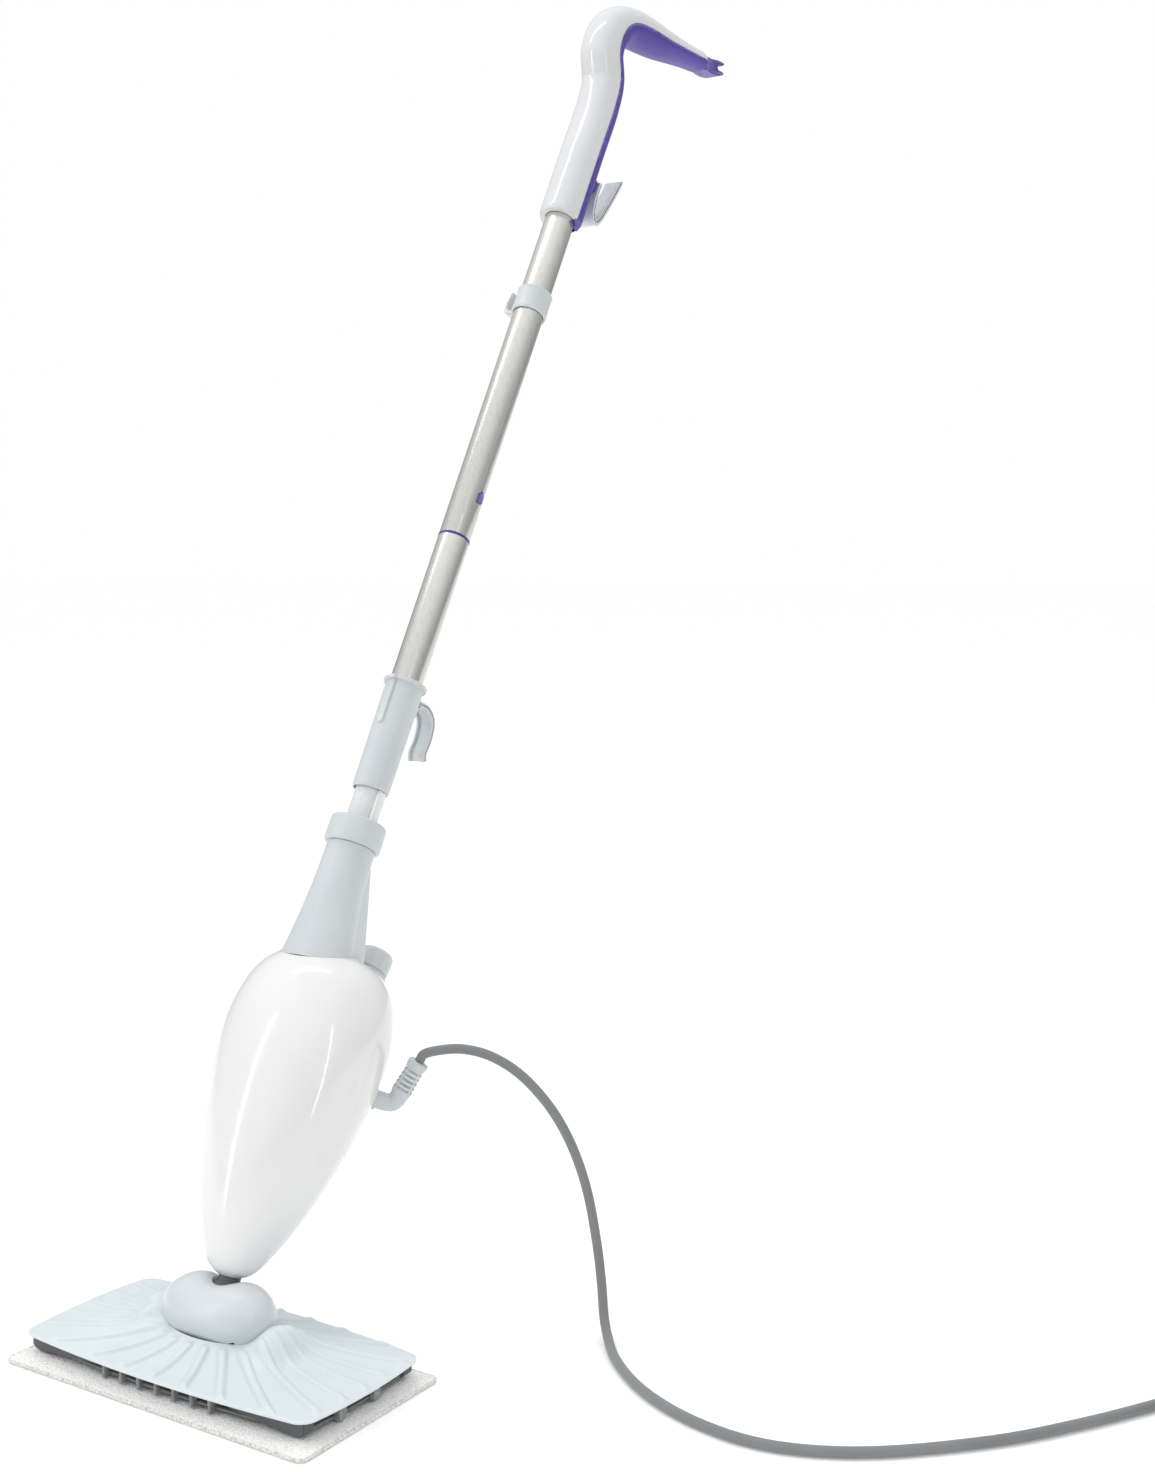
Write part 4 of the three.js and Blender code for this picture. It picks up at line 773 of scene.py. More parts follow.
def ribForm(name, grow, bottom):
    rib = neck["rib"]
    rings = []
    for i in range(9):
        z = lerp(bottom, rib["top"], i / 8)
        t = (z - rib["bottom"]) / (rib["top"] - rib["bottom"])
        half, rear = lerp(rib["halfBase"], rib["halfTop"], t), lerp(rib["rearBase"], rib["rearTop"], t)
        rings.append([(-half - 4 - grow, -poleOffset, z), (half + 4 + grow, -poleOffset, z),
                (half + grow, rear - 5 + grow, z),
                (2.5 + grow, rear + grow, z), (-2.5 - grow, rear + grow, z),
                (-half - grow, rear - 5 + grow, z)])
    return loftRings(name, rings)


cap = {"y": 41, "z": 258, "raise": 3, "tilt": 12, "radius": 14.6, "height": 21.5, "ribs": 12,
    "groove": 1.5, "thread": 8.6, "spout": 8, "spoutBore": 6.2}
capPlace = Matrix.Translation((0, cap["y"], cap["z"])) @ Matrix.Rotation(math.radians(-cap["tilt"]), 4, "X")
capPlace = capPlace @ Matrix.Translation((0, 0, cap["raise"]))
glandPath = [(44.8, 27.3, 170.8), (47, 29, 171), (61, 40, 172), (68, 38.5, 184)]


def makeBodyShells():
    whole = bodyForm("frontShell", 0)
    combine(whole, bodyForm("cavity", body["wall"], 48, 72))
    combine(whole, merge(neckForm("neckHole", 0.35, 12),
            ribForm("ribHole", 0.35, neck["rib"]["bottom"] - 10)))
    combine(whole, rod("footHole", 8.4, 0, body["bottom"] + 20))
    combine(whole, box("footCut", (60, 60, 23.2), (0, 0, 11.6)))
    combine(whole, moved(rod("spoutHole", cap["spout"] + 0.35, -34, 10), capPlace))
    combine(whole, roundBar("glandHole", smoothPath(glandPath, 8), 7.0, 32))
    rear = copyOf(whole, "rearShell")
    combine(whole, behindSeam("seamFront", -body["gap"] / 2))
    combine(rear, behindSeam("seamRear", body["gap"] / 2), "INTERSECT")
    for z in (60, 140):
        outward = body["centre"] + body["depth"] / 2 * bodyHalfAt(z)
        combine(rear, moved(rod("screwHole", 3.7, -1.5, 12, 32),
                Matrix.Translation((0, outward, z)) @ Matrix.Rotation(-math.pi / 2, 4, "X")))
    finished(whole, unitFrame, "main_unit", "whiteShell", ["front_shell"], 40)
    finished(rear, unitFrame, "main_unit", "whiteShell", ["rear_shell"], 40)


def makeNeck():
    cone = merge(neckForm("neckCone", 0, 0), ribForm("neckRib", 0, neck["rib"]["bottom"]))
    combine(cone, neckForm("neckInside", -neck["wall"], 3))
    finished(cone, unitFrame, "main_unit", "lightGrey", ["neck_cone"], 26)
    radius, bottom = 21.8, neck["top"] + 0.3
    top = bottom + 20.4
    collar = softRing("neckCollar",
        [(11.7, bottom), (radius - 0.8, bottom), (radius, bottom + 1.4), (radius - 0.3, top - 1.4),
            (radius - 1.2, top),
            (13.4, top), (11.9, top - 1.2), (11.7, bottom)], 0.8)
    combine(collar, box("keySlot", (3.8, 8.8, 24), (12.9, 0, bottom + 10)))
    finished(collar, poleFrame, "main_unit", "lightGrey", ["neck_collar"])
    spout = lathe("fillerNeck", softProfile([(cap["spoutBore"], -30), (cap["spout"], -30),
                (cap["spout"], -3), (cap["spout"] + 2.4, -2.6), (cap["spout"] + 2.4, -0.8),
                (cap["spout"], -0.4), (cap["spout"], 5),
                (cap["spoutBore"], 5)], 0.3) + [(cap["spoutBore"], -30)], 56)
    finished(moved(spout, capPlace), unitFrame, "main_unit", "lightGrey", ["filler_neck"])
    radius, height = cap["radius"], cap["height"]
    lid = lathe("fillerCap", softProfile([(0.001, 0), (radius - 0.8, 0), (radius, 0.7), (radius, 3.2),
                (radius - 1.8, 3.6), (radius - 1.8, 5.0), (radius - 0.3, 5.4),
                (radius - 0.9, height - 2.2), (radius - 2.6, height - 0.2),
                (radius - 4, height), (0.001, height - 0.4)], 0.5), 120)
    combine(lid, rod("capInside", cap["thread"], -1, 8))
    grooves = None
    for i in range(cap["ribs"]):
        angle = 2 * math.pi * i / cap["ribs"]
        groove = rod("groove", cap["groove"], 8, height + 2, 16)
        moved(groove, Matrix.Translation(((radius + 0.5) * math.cos(angle),
                    (radius + 0.5) * math.sin(angle), 0)))
        grooves = join(grooves, groove)
    combine(lid, grooves)
    finished(moved(lid, capPlace), unitFrame, "cap", "lightGrey", ["filler_cap"])


def join(first, second):
    if first is None:
        return second
    work = bmesh.new()
    work.from_mesh(first.data)
    work.from_mesh(second.data)
    work.to_mesh(first.data)
    work.free()
    bpy.data.objects.remove(second)
    return first


def makeGland():
    elbow = roundBar("cordGland", smoothPath(glandPath, 10), 6.6, 36)
    start, end = Vector(cordSettings["exitFrom"]), Vector(cordSettings["exitAt"])
    length = (end - start).length + 8
    turn = (end - start).to_track_quat("Z", "Y").to_matrix().to_4x4()
    relief = lathe("relief", softProfile([(0.001, -length), (6.6, -length), (7.6, -length + 5),
                (7.0, -5.5), (7.7, -4.8), (7.7, -0.4), (3.9, 0), (0.001, -0.6)], 0.5), 48)
    for i in range(5):
        z = -length + 7.5 + i * ((length - 13) / 4.6)
        for side in range(4):
            slot = moved(box("slot", (9, 5, 1.9), (0, 7.6, z), 0.3),
                Matrix.Rotation(side * math.pi / 2, 4, "Z"))
            combine(relief, slot)
    moved(relief, Matrix.Translation(end) @ turn @ Matrix.Rotation(math.radians(58), 4, "Z"))
    merge(elbow, relief)
    merge(elbow, moved(softRing("glandCollar", [(5, -1.6), (8.4, -1.6), (8.8, 0.6), (5, 0.6), (5, -1.6)],
                0.4, 40),
            Matrix.Translation((51.2, 32.3, 171.3)) @ Vector((14, 11, 1)).to_track_quat("Z",
                "Y").to_matrix().to_4x4()))
    finished(elbow, unitFrame, "main_unit", "lightGrey", ["cord_gland"], 30)


makeBodyShells()
makeNeck()
makeGland()
print("body, neck, cap and cord outlet made")


tube = {"radius": 12.7, "wall": 1}
sleeve = {"bottom": 387.6, "top": 478.6, "radius": 14.9, "flange": 17.2, "flangeHeight": 3,
    "tongueWidth": 5.2, "tongueLength": 40}
lowerTube = (392, 606.6)
coupler = {"ring": 1.4, "radius": 13, "spigot": 32, "spigotTop": 82, "wall": 2}
button = {"z": 646, "width": 6, "height": 11, "proud": 1.3}
clipRing = {"bottom": 822, "height": 22, "radius": 14.6}
hookBoss = {"z": 975, "radius": 8, "height": 8}


def strapHook(name, path, width, thickness, lipFrom, lipTo, soften=0.5):
    curve = splineThrough(path, 10)

    def offset(inner, outer):
        near, far = [], []
        for i, (y, z) in enumerate(curve):
            ay, az = curve[max(i - 1, 0)]
            by, bz = curve[min(i + 1, len(curve) - 1)]
            size = math.hypot(by - ay, bz - az)
            ty, tz = (by - ay) / size, (bz - az) / size
            near.append((y - tz * inner, z + ty * inner))
            far.insert(0, (y - tz * outer, z + ty * outer))
        return near + far

    hook = sidePrism(name, offset(0, thickness), width, 0, soften, 2)
    for side in (-1, 1):
        merge(hook, sidePrism("lip", offset(lipFrom, lipTo), 1.8, side * (width / 2 - 0.9), soften, 2))
    return hook


def buttonPrism(name, grow, low, high, soften=0.0):
    half, top = button["width"] / 2 + grow, button["height"] / 2 + grow
    outline = [(-half, -top), (half, -top), (half, top * 0.25), (0, top), (-half, top * 0.25)]
    turn = Matrix(((0, 0, 1, 0), (1, 0, 0, 0), (0, 1, 0, button["z"]), (0, 0, 0, 1)))
    return moved(prism(name, outline, low, high, soften), turn)


def makeTubes():
    inner = lathe("innerTube", [(9.3, 341), (9.3, 500), (11.3, 500), (11.3, 337), (9.3, 337), (9.3, 341)],
        72)
    finished(inner, poleFrame, "pump_pole", "lightGrey", ["inner_tube"])
    key = combine(softRing("guideKey",
            [(11.5, 341), (13.9, 341), (13.9, 387.2), (11.5, 387.2), (11.5, 341)], 0.6),
        box("keyBounds", (20, 8, 60), (12, 0, 364)), "INTERSECT")
    finished(key, poleFrame, "pump_pole", "whiteShell", ["guide_key"])
    bore, radius, flange = tube["radius"] + 0.3, sleeve["radius"], sleeve["flange"]
    bottom, top, thick = sleeve["bottom"], sleeve["top"], sleeve["flangeHeight"]
    wall = softRing("poleSleeve", [(bore, bottom), (radius - 1.2, bottom), (radius - 0.5, bottom + 1.6),
            (radius, top - thick), (flange, top - thick),
            (flange, top), (bore, top), (bore, bottom)], 0.7)
    half, tip = sleeve["tongueWidth"] / 2, top - sleeve["tongueLength"]
    outline = [(-half, tip + half), (-half * 0.7, tip + half * 0.35), (0, tip),
        (half * 0.7, tip + half * 0.35), (half, tip + half), (half, top), (-half, top)]
    tongue = moved(prism("tongue", outline, 0, radius + 1.2 - bore, 0.4),
        Matrix(((1, 0, 0, 0), (0, 0, -1, -bore - 0.2), (0, 1, 0, 0), (0, 0, 0, 1))))
    ears = combine(box("ears", (7, flange * 2 + 4, thick), (0, 0, top - thick / 2), 0.7),
        rod("earsInside", radius - 0.3, top - 10, top + 1), "DIFFERENCE")
    merge(wall, tongue, ears)
    finished(wall, poleFrame, "pump_pole", "lightGrey", ["pole_sleeve"])
    root, hookTop = radius + 0.3, top - thick - 4
    hook = strapHook("lowerCordHook",
        [(root + 1.5, hookTop - 3), (root + 12, hookTop - 2), (root + 22, hookTop - 8),
            (root + 25, hookTop - 22),
            (root + 24, hookTop - 34), (root + 27, hookTop - 40)], 15, 2.6,
        -2.4, 1.3)
    merge(hook, box("foot", (11, 3, 16), (0, root + 1.5, hookTop - 6), 0.8))
    finished(hook, poleFrame, "pump_pole", "lightGrey", ["lower_cord_hook"])
    wallIn = tube["radius"] - tube["wall"]
    lower = softRing("lowerTube", wallProfile(wallIn, tube["radius"], lowerTube[0], lowerTube[1]), 0.3, 96)
    finished(lower, poleFrame, "pump_pole", "steel", ["lower_tube"])
    upperBottom, upperTop = lowerTube[1] + coupler["ring"] + 0.6, 990
    upper = softRing("upperTube", wallProfile(wallIn, tube["radius"], upperBottom, upperTop), 0.3, 96)
    combine(upper, buttonPrism("buttonHole", 0.4, 5, 20))
    finished(upper, poleFrame, "pump_pole", "steel", ["upper_tube"])
    ringBottom, spigot = lowerTube[1] + 0.3, wallIn - 0.3
    spigotIn = spigot - coupler["wall"]
    ring = softRing("tubeCoupler",
        wallProfile(spigotIn, coupler["radius"], ringBottom, ringBottom + coupler["ring"]), 0.3)
    joint = merge(ring, softRing("spigot",
            wallProfile(spigotIn, spigot, ringBottom - coupler["spigot"],
                ringBottom + coupler["spigotTop"]), 0.5))
    combine(joint, buttonPrism("buttonGuide", 0.4, 0, 20))
    finished(joint, poleFrame, "pump_pole", "purple", ["tube_coupler"])
    face = buttonPrism("lockButton", 0, 6.4, tube["radius"] + button["proud"], 0.6)
    merge(face, box("buttonFoot", (3, 5, 8), (5.2, 0, button["z"] - 0.2), 0.4))
    finished(face, poleFrame, "button", "purple", ["lock_button"])
    bottom, height, radius = clipRing["bottom"], clipRing["height"], clipRing["radius"]
    band = softRing("cordClipRing",
        [(13.0, bottom), (radius, bottom), (radius + 0.5, bottom + 2), (radius, bottom + 4),
            (radius, bottom + height - 2.5), (radius + 0.6, bottom + height - 1),
            (radius, bottom + height), (13.0, bottom + height), (13.0, bottom)],
        0.5)
    outline = [(-radius + 0.6, bottom + 1), (-radius - 5, bottom + 1), (-radius - 8, bottom + 2.6),
        (-radius - 9.4, bottom + 6), (-radius - 9.6, bottom + 12), (-radius - 7.5, bottom + height - 1),
        (-radius - 5, bottom + height + 1), (-radius - 5.6, bottom + height - 3),
        (-radius - 7.4, bottom + 12), (-radius - 6.8, bottom + 7),
        (-radius - 5, bottom + 4.4), (-radius + 0.6, bottom + 4)]
    clip = moved(prism("clip", outline, -4.5, 4.5, 0.5), Matrix.Rotation(math.pi / 2, 4, "X"))
    finished(merge(band, clip), poleFrame, "pump_pole", "lightGrey", ["cord_clip_ring"])


makeTubes()
print("pole made")


handle = {"bottom": 920, "stemRadius": 18.3, "riseStart": 1058, "rise": 34, "bend": 30, "grip": 142,
    "width": 36, "height": 33, "endWidth": 25, "endHeight": 19, "wall": 2.6, "tubeDepth": 70,
    "split": 0.35}
riseWay = (-math.sin(lean), math.cos(lean))
gripWay = (math.cos(lean), math.sin(lean))


def handlePoints():
    elbow = (riseWay[0] * handle["rise"], handle["riseStart"] + riseWay[1] * handle["rise"])
    corner = (elbow[0] + riseWay[0] * handle["bend"], elbow[1] + riseWay[1] * handle["bend"])
    start = (corner[0] + gripWay[0] * handle["bend"], corner[1] + gripWay[1] * handle["bend"])
    onGrip = lambda d: (start[0] + gripWay[0] * d, start[1] + gripWay[1] * d)
    rounded = tuple(corner[i] * 0.3 + (elbow[i] + start[i]) * 0.35 for i in (0, 1))
    bottom, rise = handle["bottom"], handle["riseStart"]
    return [(0, bottom), (0, (bottom + rise) / 2), (0, rise - 12), (riseWay[0] * 8, rise + 10), elbow,
        rounded, start,
        onGrip(handle["grip"] / 2), onGrip(handle["grip"])]


def evenPath(points, count):
    path = smoothPath([(0, y, z) for y, z in points], 24)
    lengths = [0.0]
    for a, b in zip(path, path[1:]):
        lengths.append(lengths[-1] + (b - a).length)
    result, k = [], 0
    for i in range(count + 1):
        want = lengths[-1] * i / count
        while k < len(path) - 2 and lengths[k + 1] < want:
            k += 1
        result.append(path[k].lerp(path[k + 1],
                (want - lengths[k]) / max(lengths[k + 1] - lengths[k], 1e-9)))
    return result


handleLine = evenPath(handlePoints(), 160)


def handleAt(share):
    i = min(max(round(share * 160), 0), 160)
    along = (handleLine[min(i + 1, 160)] - handleLine[max(i - 1, 0)]).normalized()
    return handleLine[i], along


def handleForm(name, inset, low, high, rows):
    rings = []
    for i in range(rows + 1):
        t = lerp(low, high, i / rows)
        point, along = handleAt(t)
        onGrip, taper = easeBetween(t, 0.5, 0.62), easeBetween(t, 0.66, 1)
        wide = lerp(handle["width"], handle["endWidth"], taper) / 2
        high2 = lerp(handle["height"], handle["endHeight"], taper) / 2
        tip = 1 - 0.14 * easeBetween(t, 0.985, 1.0) ** 2
        foot = 1 - 0.05 * (1 - easeBetween(t, 0, 0.008))
        halfX = lerp(handle["stemRadius"], wide, onGrip) * tip * foot - inset
        halfN = lerp(handle["stemRadius"], high2, onGrip) * tip * foot - inset
        rings.append([(a, point.y + along.z * o, point.z - along.y * o) for a,
                o in roundedSection(halfX, halfN, 2.15, 72)])
    return loftRings(name, rings)


def underHandle(name, shift):
    outline = []
    for i in range(57):
        point, along = handleAt(i / 56)
        outline.append((point.y + along.z * shift, point.z - along.y * shift))
    end = outline[-1]
    outline += [(end[0] + gripWay[0] * 60, end[1] + gripWay[1] * 60),
        (end[0] + 200, handle["bottom"] - 60), (shift, handle["bottom"] - 60)]
    return sidePrism(name, outline, 120)


def makeHandle():
    bottom = handle["bottom"]
    outer = handleForm("handleShell", 0, 0, 1, 160)
    combine(outer, handleForm("hollow", handle["wall"], 0.3, 0.96, 60))
    bore = rod("bore", tube["radius"] + 0.4, bottom - 30, bottom + handle["tubeDepth"] + 0.3)
    combine(outer, bore, keepTool=True)
    insert = combine(copyOf(outer, "handleInsert"), underHandle("rearHalf", handle["split"] / 2),
        "INTERSECT")
    combine(outer, underHandle("rearCut", -handle["split"] / 2))
    stem = handle["stemRadius"]
    tail = sidePrism("tail", [(9, bottom - 11), (14.5, bottom - 11.5), (stem - 0.6, bottom - 4),
            (stem - 0.6, bottom + 14), (9, bottom + 14)], 15, 0, 0.6)
    combine(tail, rod("tailRound", stem, bottom - 20, bottom + 20), "INTERSECT")
    combine(tail, bore)
    toRear = Matrix.Rotation(-math.pi / 2, 4, "X")
    boss = moved(lathe("boss", softProfile([(0.001, 0), (hookBoss["radius"] + 1.4, 0),
                (hookBoss["radius"], 2.4), (hookBoss["radius"], hookBoss["height"]),
                (0.001, hookBoss["height"])],
                0.8), 48),
        Matrix.Translation((0, stem - 1.5, hookBoss["z"])) @ toRear)
    merge(insert, tail, boss)
    screwSpot = Matrix.Translation((0, stem, bottom + 20)) @ toRear
    combine(insert, moved(rod("screwHole", 1.7, -9, 9, 24), screwSpot))
    combine(insert, moved(rod("pinHole", 2.7, -9, 20, 24),
            Matrix.Translation((0, stem, hookBoss["z"])) @ toRear))
    finished(outer, poleFrame, "pump_pole", "handleGloss", ["handle_shell"], 40)
    finished(insert, poleFrame, "pump_pole", "purple", ["handle_insert"], 40)
    end = handleLine[-1]
    place = lambda a, b: (end.y + gripWay[0] * a - gripWay[1] * b, end.z + gripWay[1] * a + gripWay[0] * b)
    outline = [(0.6, -7), (8, -8.2), (14, -8.5), (22, -8.1), (30, -7), (36, -5), (35.4, -3.4), (34, -2.4),
        (27, -2.6), (24.6, -1.6), (24, 0), (24.6, 1.7), (27, 2.6), (36, 3.6), (37, 5), (36.6, 6.4),
        (26, 6.6), (12, 5), (0.6, 5.5)]
    finished(sidePrism("handleEndClip", [place(a, b) for a, b in outline], 17, 0, 0.9), poleFrame,
        "pump_pole", "purple", ["handle_end_clip"])
    face = stem - 1.5 + hookBoss["height"] + 0.3
    z = hookBoss["z"]
    hook = strapHook("upperCordHook",
        [(face + 0.4, z + 5), (face + 0.4, z - 12), (face + 4, z - 27), (face + 12, z - 32),
            (face + 19, z - 22), (face + 26, z + 4), (face + 31, z + 28)], 17,
        3.2, 2.2, 7.5, 0.9)
    plate = moved(lathe("plate", softProfile([(0.001, 0), (7.5, 0), (7.5, 3), (0.001, 3)], 0.6), 48),
        Matrix.Translation((0, face, z)) @ toRear)
    merge(hook, plate)
    combine(hook, moved(rod("hookHole", 2.7, -5, 12, 24), Matrix.Translation((0, face, z)) @ toRear))
    finished(hook, poleFrame, "cord_hook", "lightGrey", ["upper_cord_hook"])


makeHandle()
print("handle and hooks made")


barrel = {"length": 93, "radius": 27.5, "fullness": 2.5, "saddleWidth": 14, "saddleDepth": 0.3,
    "back": 3.5, "under": 0.9,
    "slotWidth": 10.8, "slotHalf": 9.0, "slotFrom": -8, "slotTo": 83,
    "nozzleReach": 28.1, "nozzleOut": 1.5, "bearingAt": 25.5, "nozzleWidth": 19.4, "nozzleFrom": -22,
    "nozzleTo": 97}
cover = {"width": 272, "depth": 135, "endBow": 3, "sideBow": 6, "corner": 13, "rim": 18.5, "wall": 2.2,
    "hub": 33,
    "ribs": 24, "ribHeight": 2.6, "ribWidth": 3.0, "lobeHeight": 13, "lobeAt": 55, "lobeWide": 14,
    "lobeDeep": 20}
pad = {"width": 278, "depth": 144, "thickness": 6, "corner": 7, "edge": 3.2, "pile": 0.35, "cell": 1.6}


def bowedOutline(inset, perCorner=10, perSide=40, perEnd=22):
    halfX, halfY = cover["width"] / 2 - inset, cover["depth"] / 2 - inset
    radius = max(cover["corner"] - inset, 3)
    points = []
    for corner in range(4):
        signX, signY = (1 if corner in (0, 3) else -1), (1 if corner < 2 else -1)
        for i in range(perCorner + 1):
            angle = (corner + i / perCorner) * math.pi / 2
            points.append((signX * (halfX - cover["endBow"] - radius) + radius * math.cos(angle),
                    signY * (halfY - cover["sideBow"] - radius) + radius * math.sin(angle)))
        start = points[-1]
        steps = perSide if corner % 2 == 0 else perEnd
        for i in range(1, steps):
            t = i / steps
            bulge = 4 * t * (1 - t)
            if corner % 2 == 0:
                points.append((start[0] * (1 - 2 * t), start[1] + signY * cover["sideBow"] * bulge))
            else:
                points.append((start[0] + signX * cover["endBow"] * bulge, start[1] * (1 - 2 * t)))
    return points


def coverOpening():
    scale = math.sqrt(1 - ((pivotHeight - cover["hub"]) / barrel["radius"]) ** 2)
    return barrel["length"] / 2 * scale + 1.8, barrel["radius"] * scale + 1.4


def coverHeight(x, y, share, angle):
    openX, openY = coverOpening()
    height = cover["rim"] + cover["wall"] + (cover["hub"] - cover["rim"] - cover["wall"]) * (1 - share) ** 2.2
    for side in (-1, 1):
        reach = math.hypot((x - side * cover["lobeAt"]) / cover["lobeWide"], y / cover["lobeDeep"])
        height += cover["lobeHeight"] * math.exp(-reach ** 2.6)
    step = 2 * math.pi / cover["ribs"]
    off = (angle + 0.5 * step) % step - 0.5 * step  # from the middle of the nearest rib
    spread = math.hypot(x / openX, y / openY) * openX * openY / math.hypot(openX * math.cos(angle),
        openY * math.sin(angle))
    ridge = math.exp(-(off * spread / cover["ribWidth"]) ** 4)
    fade = easeBetween(share, 0.04, 0.16) * (1 - easeBetween(share, 0.91, 0.995))
    return height + cover["ribHeight"] * ridge * fade


def makeCover():
    outer = bowedOutline(0)
    outer = [Vector((*p, 0)) for p in outer]
    path = [0.0]
    for a, b in zip(outer, outer[1:] + outer[:1]):
        path.append(path[-1] + (b - a).length)
    total = path[-1]
    count = 760
    edge = []
    k = 0
    for i in range(count):
        want = total * i / count
        while path[k + 1] < want:
            k += 1
        edge.append(outer[k].lerp(outer[(k + 1) % len(outer)], (want - path[k]) / (path[k + 1] - path[k])))
    openX, openY = coverOpening()
    levels = [i / 60 for i in range(61)]
    top, under = [], []
    for t in levels:
        ring, low = [], []
        for i, spot in enumerate(edge):
            angle = math.atan2(spot.y / openY, spot.x / openX)
            x = openX * math.cos(angle) * (1 - t) + spot.x * t
            y = (openY * math.sin(angle) + barrel["back"]) * (1 - t) + spot.y * t
            z = coverHeight(x, y, t, angle)
            roll = 0.9 * easeBetween(t, 0.975, 1.0)
            ring.append((x, y, z - roll))
            low.append((x, y, z - cover["wall"] + roll * 0.3))
        top.append(ring)
        under.append(low)
    skin = loftRings("headCover", under + list(reversed(top)), closed=True)
    finished(skin, floorFrame, "mop_head", "coverGrey", ["head_cover"], 50)


def bearingWay():  # the room that the bearing blocks sweep as the head tilts
    reach, half = barrel["length"], barrel["slotHalf"]
    start, end = math.radians(barrel["slotFrom"]), math.radians(barrel["slotTo"])
    first, last = (-half * math.cos(start), -half * math.sin(start)), (half * math.cos(end),
        half * math.sin(end))
    outline = [(0, 0), first, (first[0] + reach * math.sin(start), first[1] - reach * math.cos(start))]
    for i in (1, 2, 3):
        angle = lerp(start, end, i / 4)
        outline.append((math.sin(angle) * reach, -math.cos(angle) * reach))
    return outline + [(last[0] + reach * math.sin(end), last[1] - reach * math.cos(end)), last]


def makeBarrel():
    half = barrel["length"] / 2
    rows, sides = 72, 96
    rings = []
    for i in range(rows + 1):
        x = -half * math.cos(math.pi * i / rows)
        radius = barrel["radius"] * max(1 - abs(x / half) ** barrel["fullness"], 0.0001) ** (1 / 2.05)
        ring = []
        for j in range(sides):
            angle = 2 * math.pi * j / sides
            y, z = radius * math.cos(angle), radius * math.sin(angle)
            toward = max(0.0, z / max(radius, 0.001))
            across = math.exp(-(x / barrel["saddleWidth"]) ** 2)
            dip = barrel["saddleDepth"] * across * easeBetween(toward, 0.35, 1.0)
            ring.append((x, y * (1 - dip * 0.35) + barrel["back"] * (1 - (x / half) ** 2),
                    z * (1 - dip) if z > 0 else z * barrel["under"]))
        rings.append(ring)
    dome = loftRings("swivelBarrel", rings)
    sweep = [math.radians(lerp(barrel["nozzleFrom"], barrel["nozzleTo"], i / 16)) for i in range(17)]
    near = [(barrel["nozzleReach"] * math.sin(a), -barrel["nozzleReach"] * math.cos(a)) for a in sweep]
    far = [(y * barrel["nozzleOut"], z * barrel["nozzleOut"]) for y, z in reversed(near)]
    # room for the nozzle as the head tilts
    combine(dome, sidePrism("nozzleWay", near + far, barrel["nozzleWidth"]))
    combine(dome, rod("stemBore", 11.4, -12.5, 40, 48))
    for side in (-1, 1):
        combine(dome, moved(rod("bearingRoom", 9.4, -5.4, 5.4, 48),
                Matrix.Translation((side * barrel["bearingAt"], 0, 0)) @ Matrix.Rotation(math.pi / 2, 4,
                    "Y")))
        combine(dome, sidePrism("bearingWay", bearingWay(), barrel["slotWidth"],
                side * barrel["bearingAt"]))
    finished(dome, unitFrame, "barrel", "domeGrey", ["swivel_barrel"], 40)
    stem = merge(softRing("neckJoint",
            [(4, -12), (11, -12), (11, 16.5), (8, 20), (8, 46), (4, 46), (4, -12)], 0.8, 64))
    finished(stem, unitFrame, "main_unit", "darkGrey", ["neck_joint"])


def makeBase():
    bottom, top = pad["thickness"] + 0.4, cover["rim"] - 0.3
    plate = prism("basePlate", bowedOutline(9, 6, 12, 8), bottom + 2.2, bottom + 4.6, 0.5, 2)
    parts = []
    frontY = cover["depth"] / 2 - 8
    for side in (-1, 1):
        for end in (-1, 1):
            outline = [(58, top - 3.2), (62, top - 7.2), (119, bottom + 0.6), (124, bottom + 1.6),
                (127, bottom + 4), (127, top), (58, top)]
            block = prism("cornerBlock", [(end * x, z) for x, z in outline], -5, 5, 0.7, 2)
            moved(block, Matrix(((1, 0, 0, 0), (0, 0, 1, side * (frontY - 8.5)), (0, 1, 0, 0),
                        (0, 0, 0, 1))))
            parts.append(block)
        parts.append(box("fold", (104, 3, top - bottom - 4),
                (0, side * (frontY - 10), bottom + 4 + (top - bottom - 4) / 2), 0.6))
        for i in range(7):
            parts.append(box("fin", (2.8, 13, top - bottom),
                    ((i - 3) * 16.5, side * (frontY - 4.4), (top + bottom) / 2), 0.5))
    for end in (-1, 1):
        for y in (-20, 15):
            parts.append(box("endLug", (11, 9, top - bottom), (end * 124, y, (top + bottom) / 2), 1.0))
        parts.append(box("endWall", (3, 84, 7), (end * 119, 0, top - 4), 0.6))
    for part in parts:
        plate = join(plate, part)
    finished(plate, floorFrame, "mop_head", "darkGrey", ["base_plate"])


def padOutline(inset):
    halfX, halfY, radius = pad["width"] / 2 - inset, pad["depth"] / 2 - inset, max(pad["corner"] - inset, 2)
    points = []
    for corner in range(4):
        signX, signY = (1 if corner in (0, 3) else -1), (1 if corner < 2 else -1)
        for i in range(9):
            angle = (corner + i / 8) * math.pi / 2
            points.append(Vector((signX * (halfX - radius) + radius * math.cos(angle),
                        signY * (halfY - radius) + radius * math.sin(angle), 0)))
    path = []
    for a, b in zip(points, points[1:] + points[:1]):
        steps = max(1, round((b - a).length / 2.0))
        path += [a.lerp(b, k / steps) for k in range(steps)]
    return path


def padThickness(x, y):
    toEdge = min(pad["width"] / 2 - abs(x), pad["depth"] / 2 - abs(y))
    return lerp(pad["edge"], pad["thickness"], easeBetween(toEdge, 0, 16))


